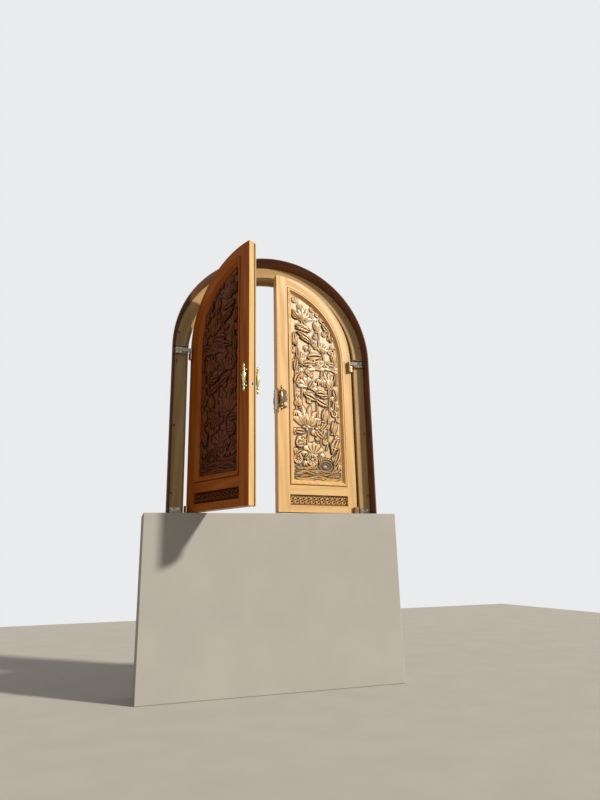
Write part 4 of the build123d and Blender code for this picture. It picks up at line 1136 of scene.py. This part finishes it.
def makePulls():
    sizes = pullSizes
    upper = sizes["turning"]
    whole = [(-height, radius) for height, radius in reversed(upper[1:])] + list(upper)
    grip = turnedPiece("grip", whole)
    x, y, z = sizes["middle"]
    grip.data.transform(Matrix.Translation(Vector((x, y, z)) * mm))
    pieces = [grip]
    for rise in sizes["postHeights"]:
        post = turnedPiece("post", sizes["post"])
        place = Matrix.Translation(Vector((x, y, z + rise)) * mm)
        post.data.transform(place @ Matrix.Rotation(pi / 2, 4, "X"))
        pieces.append(post)
    pull = joined(pieces, "pull")
    inward = Matrix.Translation((0, sizes["leafThick"] * mm, 0)) @ Matrix.Diagonal((1, -1, 1, 1))
    for side in ("right", "left"):
        for face in ("outer", "inner"):
            piece = copyOf(pull, f"{side}_{face}_pull_turned")
            if face == "inner":
                piece.data.transform(inward)
                piece.data.flip_normals()
            dress(piece, metals[pullTones[side]])
            toLeaf(piece, side)
            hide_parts(f"{side}_{face}_pull")
    bpy.data.objects.remove(pull)


makePulls()
print("pulls turned")


# Plinth, floor, light and camera

stageSizes = {
    "floorHeight": -1.34, "floorWide": 14, "plinthHalf": 1.05, "plinthFront": -0.10, "plinthBack": 0.26,
    "plinthEdge": 0.006,
}
stageTones = {
    "floorPaint": (0.62, 0.61, 0.59), "plinthStone": (0.56, 0.55, 0.53), "darker": 0.94, "thrownBack": 0.45,
    "cloud": 3, "detail": 6, "patches": (0.35, 0.65), "rough": 0.85,
}
lightSizes = {
    "sunAcross": 47, "sunUp": 29, "sunAway": 6, "sunSpread": 4, "sunPower": 3.3, "sunTone": (1.0, 0.91, 0.77),
    "fillTone": (1.0, 0.91, 0.78), "fillPower": 0.24, "backTone": (0.82, 0.83, 0.84),
}
cameraSizes = {
    "place": (-1.244, -4.7695, -0.398), "yaw": 0.3027, "pitch": 0.2719, "roll": -0.0212, "lens": 26.40,
}


def dimmed(shade, share):
    return tuple(part * share for part in shade)


# 1 where the camera looks, also by way of metal or glass, and 0 for light on its way to a piece
def seenMask(tree, x, y):
    path = addNode(tree, "ShaderNodeLightPath", x, y).outputs
    seen = calc(tree, "MAXIMUM", x + 200, y, path["Is Camera Ray"], path["Is Glossy Ray"])
    return calc(tree, "MAXIMUM", x + 400, y, seen, path["Is Transmission Ray"])


def makeStageMaterial(name):
    values = stageTones
    shade = values[name]
    material, tree, shader = newMaterial(name)
    darkFrom, paleFrom = values["patches"]
    dark, pale = (darkFrom, dimmed(shade, values["darker"])), (paleFrom, shade)
    tone = mottled(tree, values["cloud"], values["detail"], dark, pale)
    low = (*dimmed(shade, values["thrownBack"]), 1)    # little light is thrown back up
    paint = blend(tree, -150, 100, seenMask(tree, -700, 400), low, tone)
    feedAll(tree, shader, {"Base Color": paint, "Roughness": values["rough"]})
    return material


def makeStage():
    sizes = stageSizes
    deselectAll()
    bpy.ops.mesh.primitive_plane_add(size=sizes["floorWide"], location=(0, 0, sizes["floorHeight"]))
    floor = bpy.context.active_object
    floor.name = "floor"
    settle(floor)
    dress(floor, makeStageMaterial("floorPaint"))
    deselectAll()
    middle = (sizes["plinthFront"] + sizes["plinthBack"]) / 2
    bpy.ops.mesh.primitive_cube_add(size=1, location=(0, middle, sizes["floorHeight"] / 2))
    plinth = bpy.context.active_object
    plinth.name = "plinth"
    deep = sizes["plinthBack"] - sizes["plinthFront"]
    plinth.scale = (sizes["plinthHalf"] * 2, deep, -sizes["floorHeight"])
    settle(plinth)
    useModifier(plinth, "BEVEL", width=sizes["plinthEdge"], segments=3)
    dress(plinth, makeStageMaterial("plinthStone"))


def makeLights():
    sizes = lightSizes
    across, up = radians(sizes["sunAcross"]), radians(sizes["sunUp"])
    towards = Vector((sin(across) * cos(up), -cos(across) * cos(up), sin(up)))
    deselectAll()
    bpy.ops.object.light_add(type="SUN", location=towards * sizes["sunAway"])
    sun = bpy.context.active_object
    sun.rotation_euler = towards.to_track_quat("Z", "Y").to_euler()
    sun.data.energy = sizes["sunPower"]
    sun.data.angle = radians(sizes["sunSpread"])
    sun.data.color = sizes["sunTone"]
    world = bpy.data.worlds.new("studio")
    bpy.context.scene.world = world
    world.use_nodes = True
    tree = world.node_tree
    fill = (*dimmed(sizes["fillTone"], sizes["fillPower"]), 1)
    tone = blend(tree, -300, 200, seenMask(tree, -900, 200), fill, (*sizes["backTone"], 1))
    background = tree.nodes["Background"]
    feedAll(tree, background, {"Color": tone, "Strength": 1})


def makeCamera():
    sizes = cameraSizes
    deselectAll()
    bpy.ops.object.camera_add()
    camera = bpy.context.active_object
    camera.matrix_world = (
        Matrix.Translation(sizes["place"]) @ Matrix.Rotation(-sizes["yaw"], 4, "Z")
        @ Matrix.Rotation(pi / 2 + sizes["pitch"], 4, "X") @ Matrix.Rotation(sizes["roll"], 4, "Z")
    )
    camera.data.lens = sizes["lens"]
    bpy.context.scene.camera = camera
    bpy.context.scene.view_settings.view_transform = "Standard"


makeStage()
makeLights()
makeCamera()
print("stage, light and camera set")
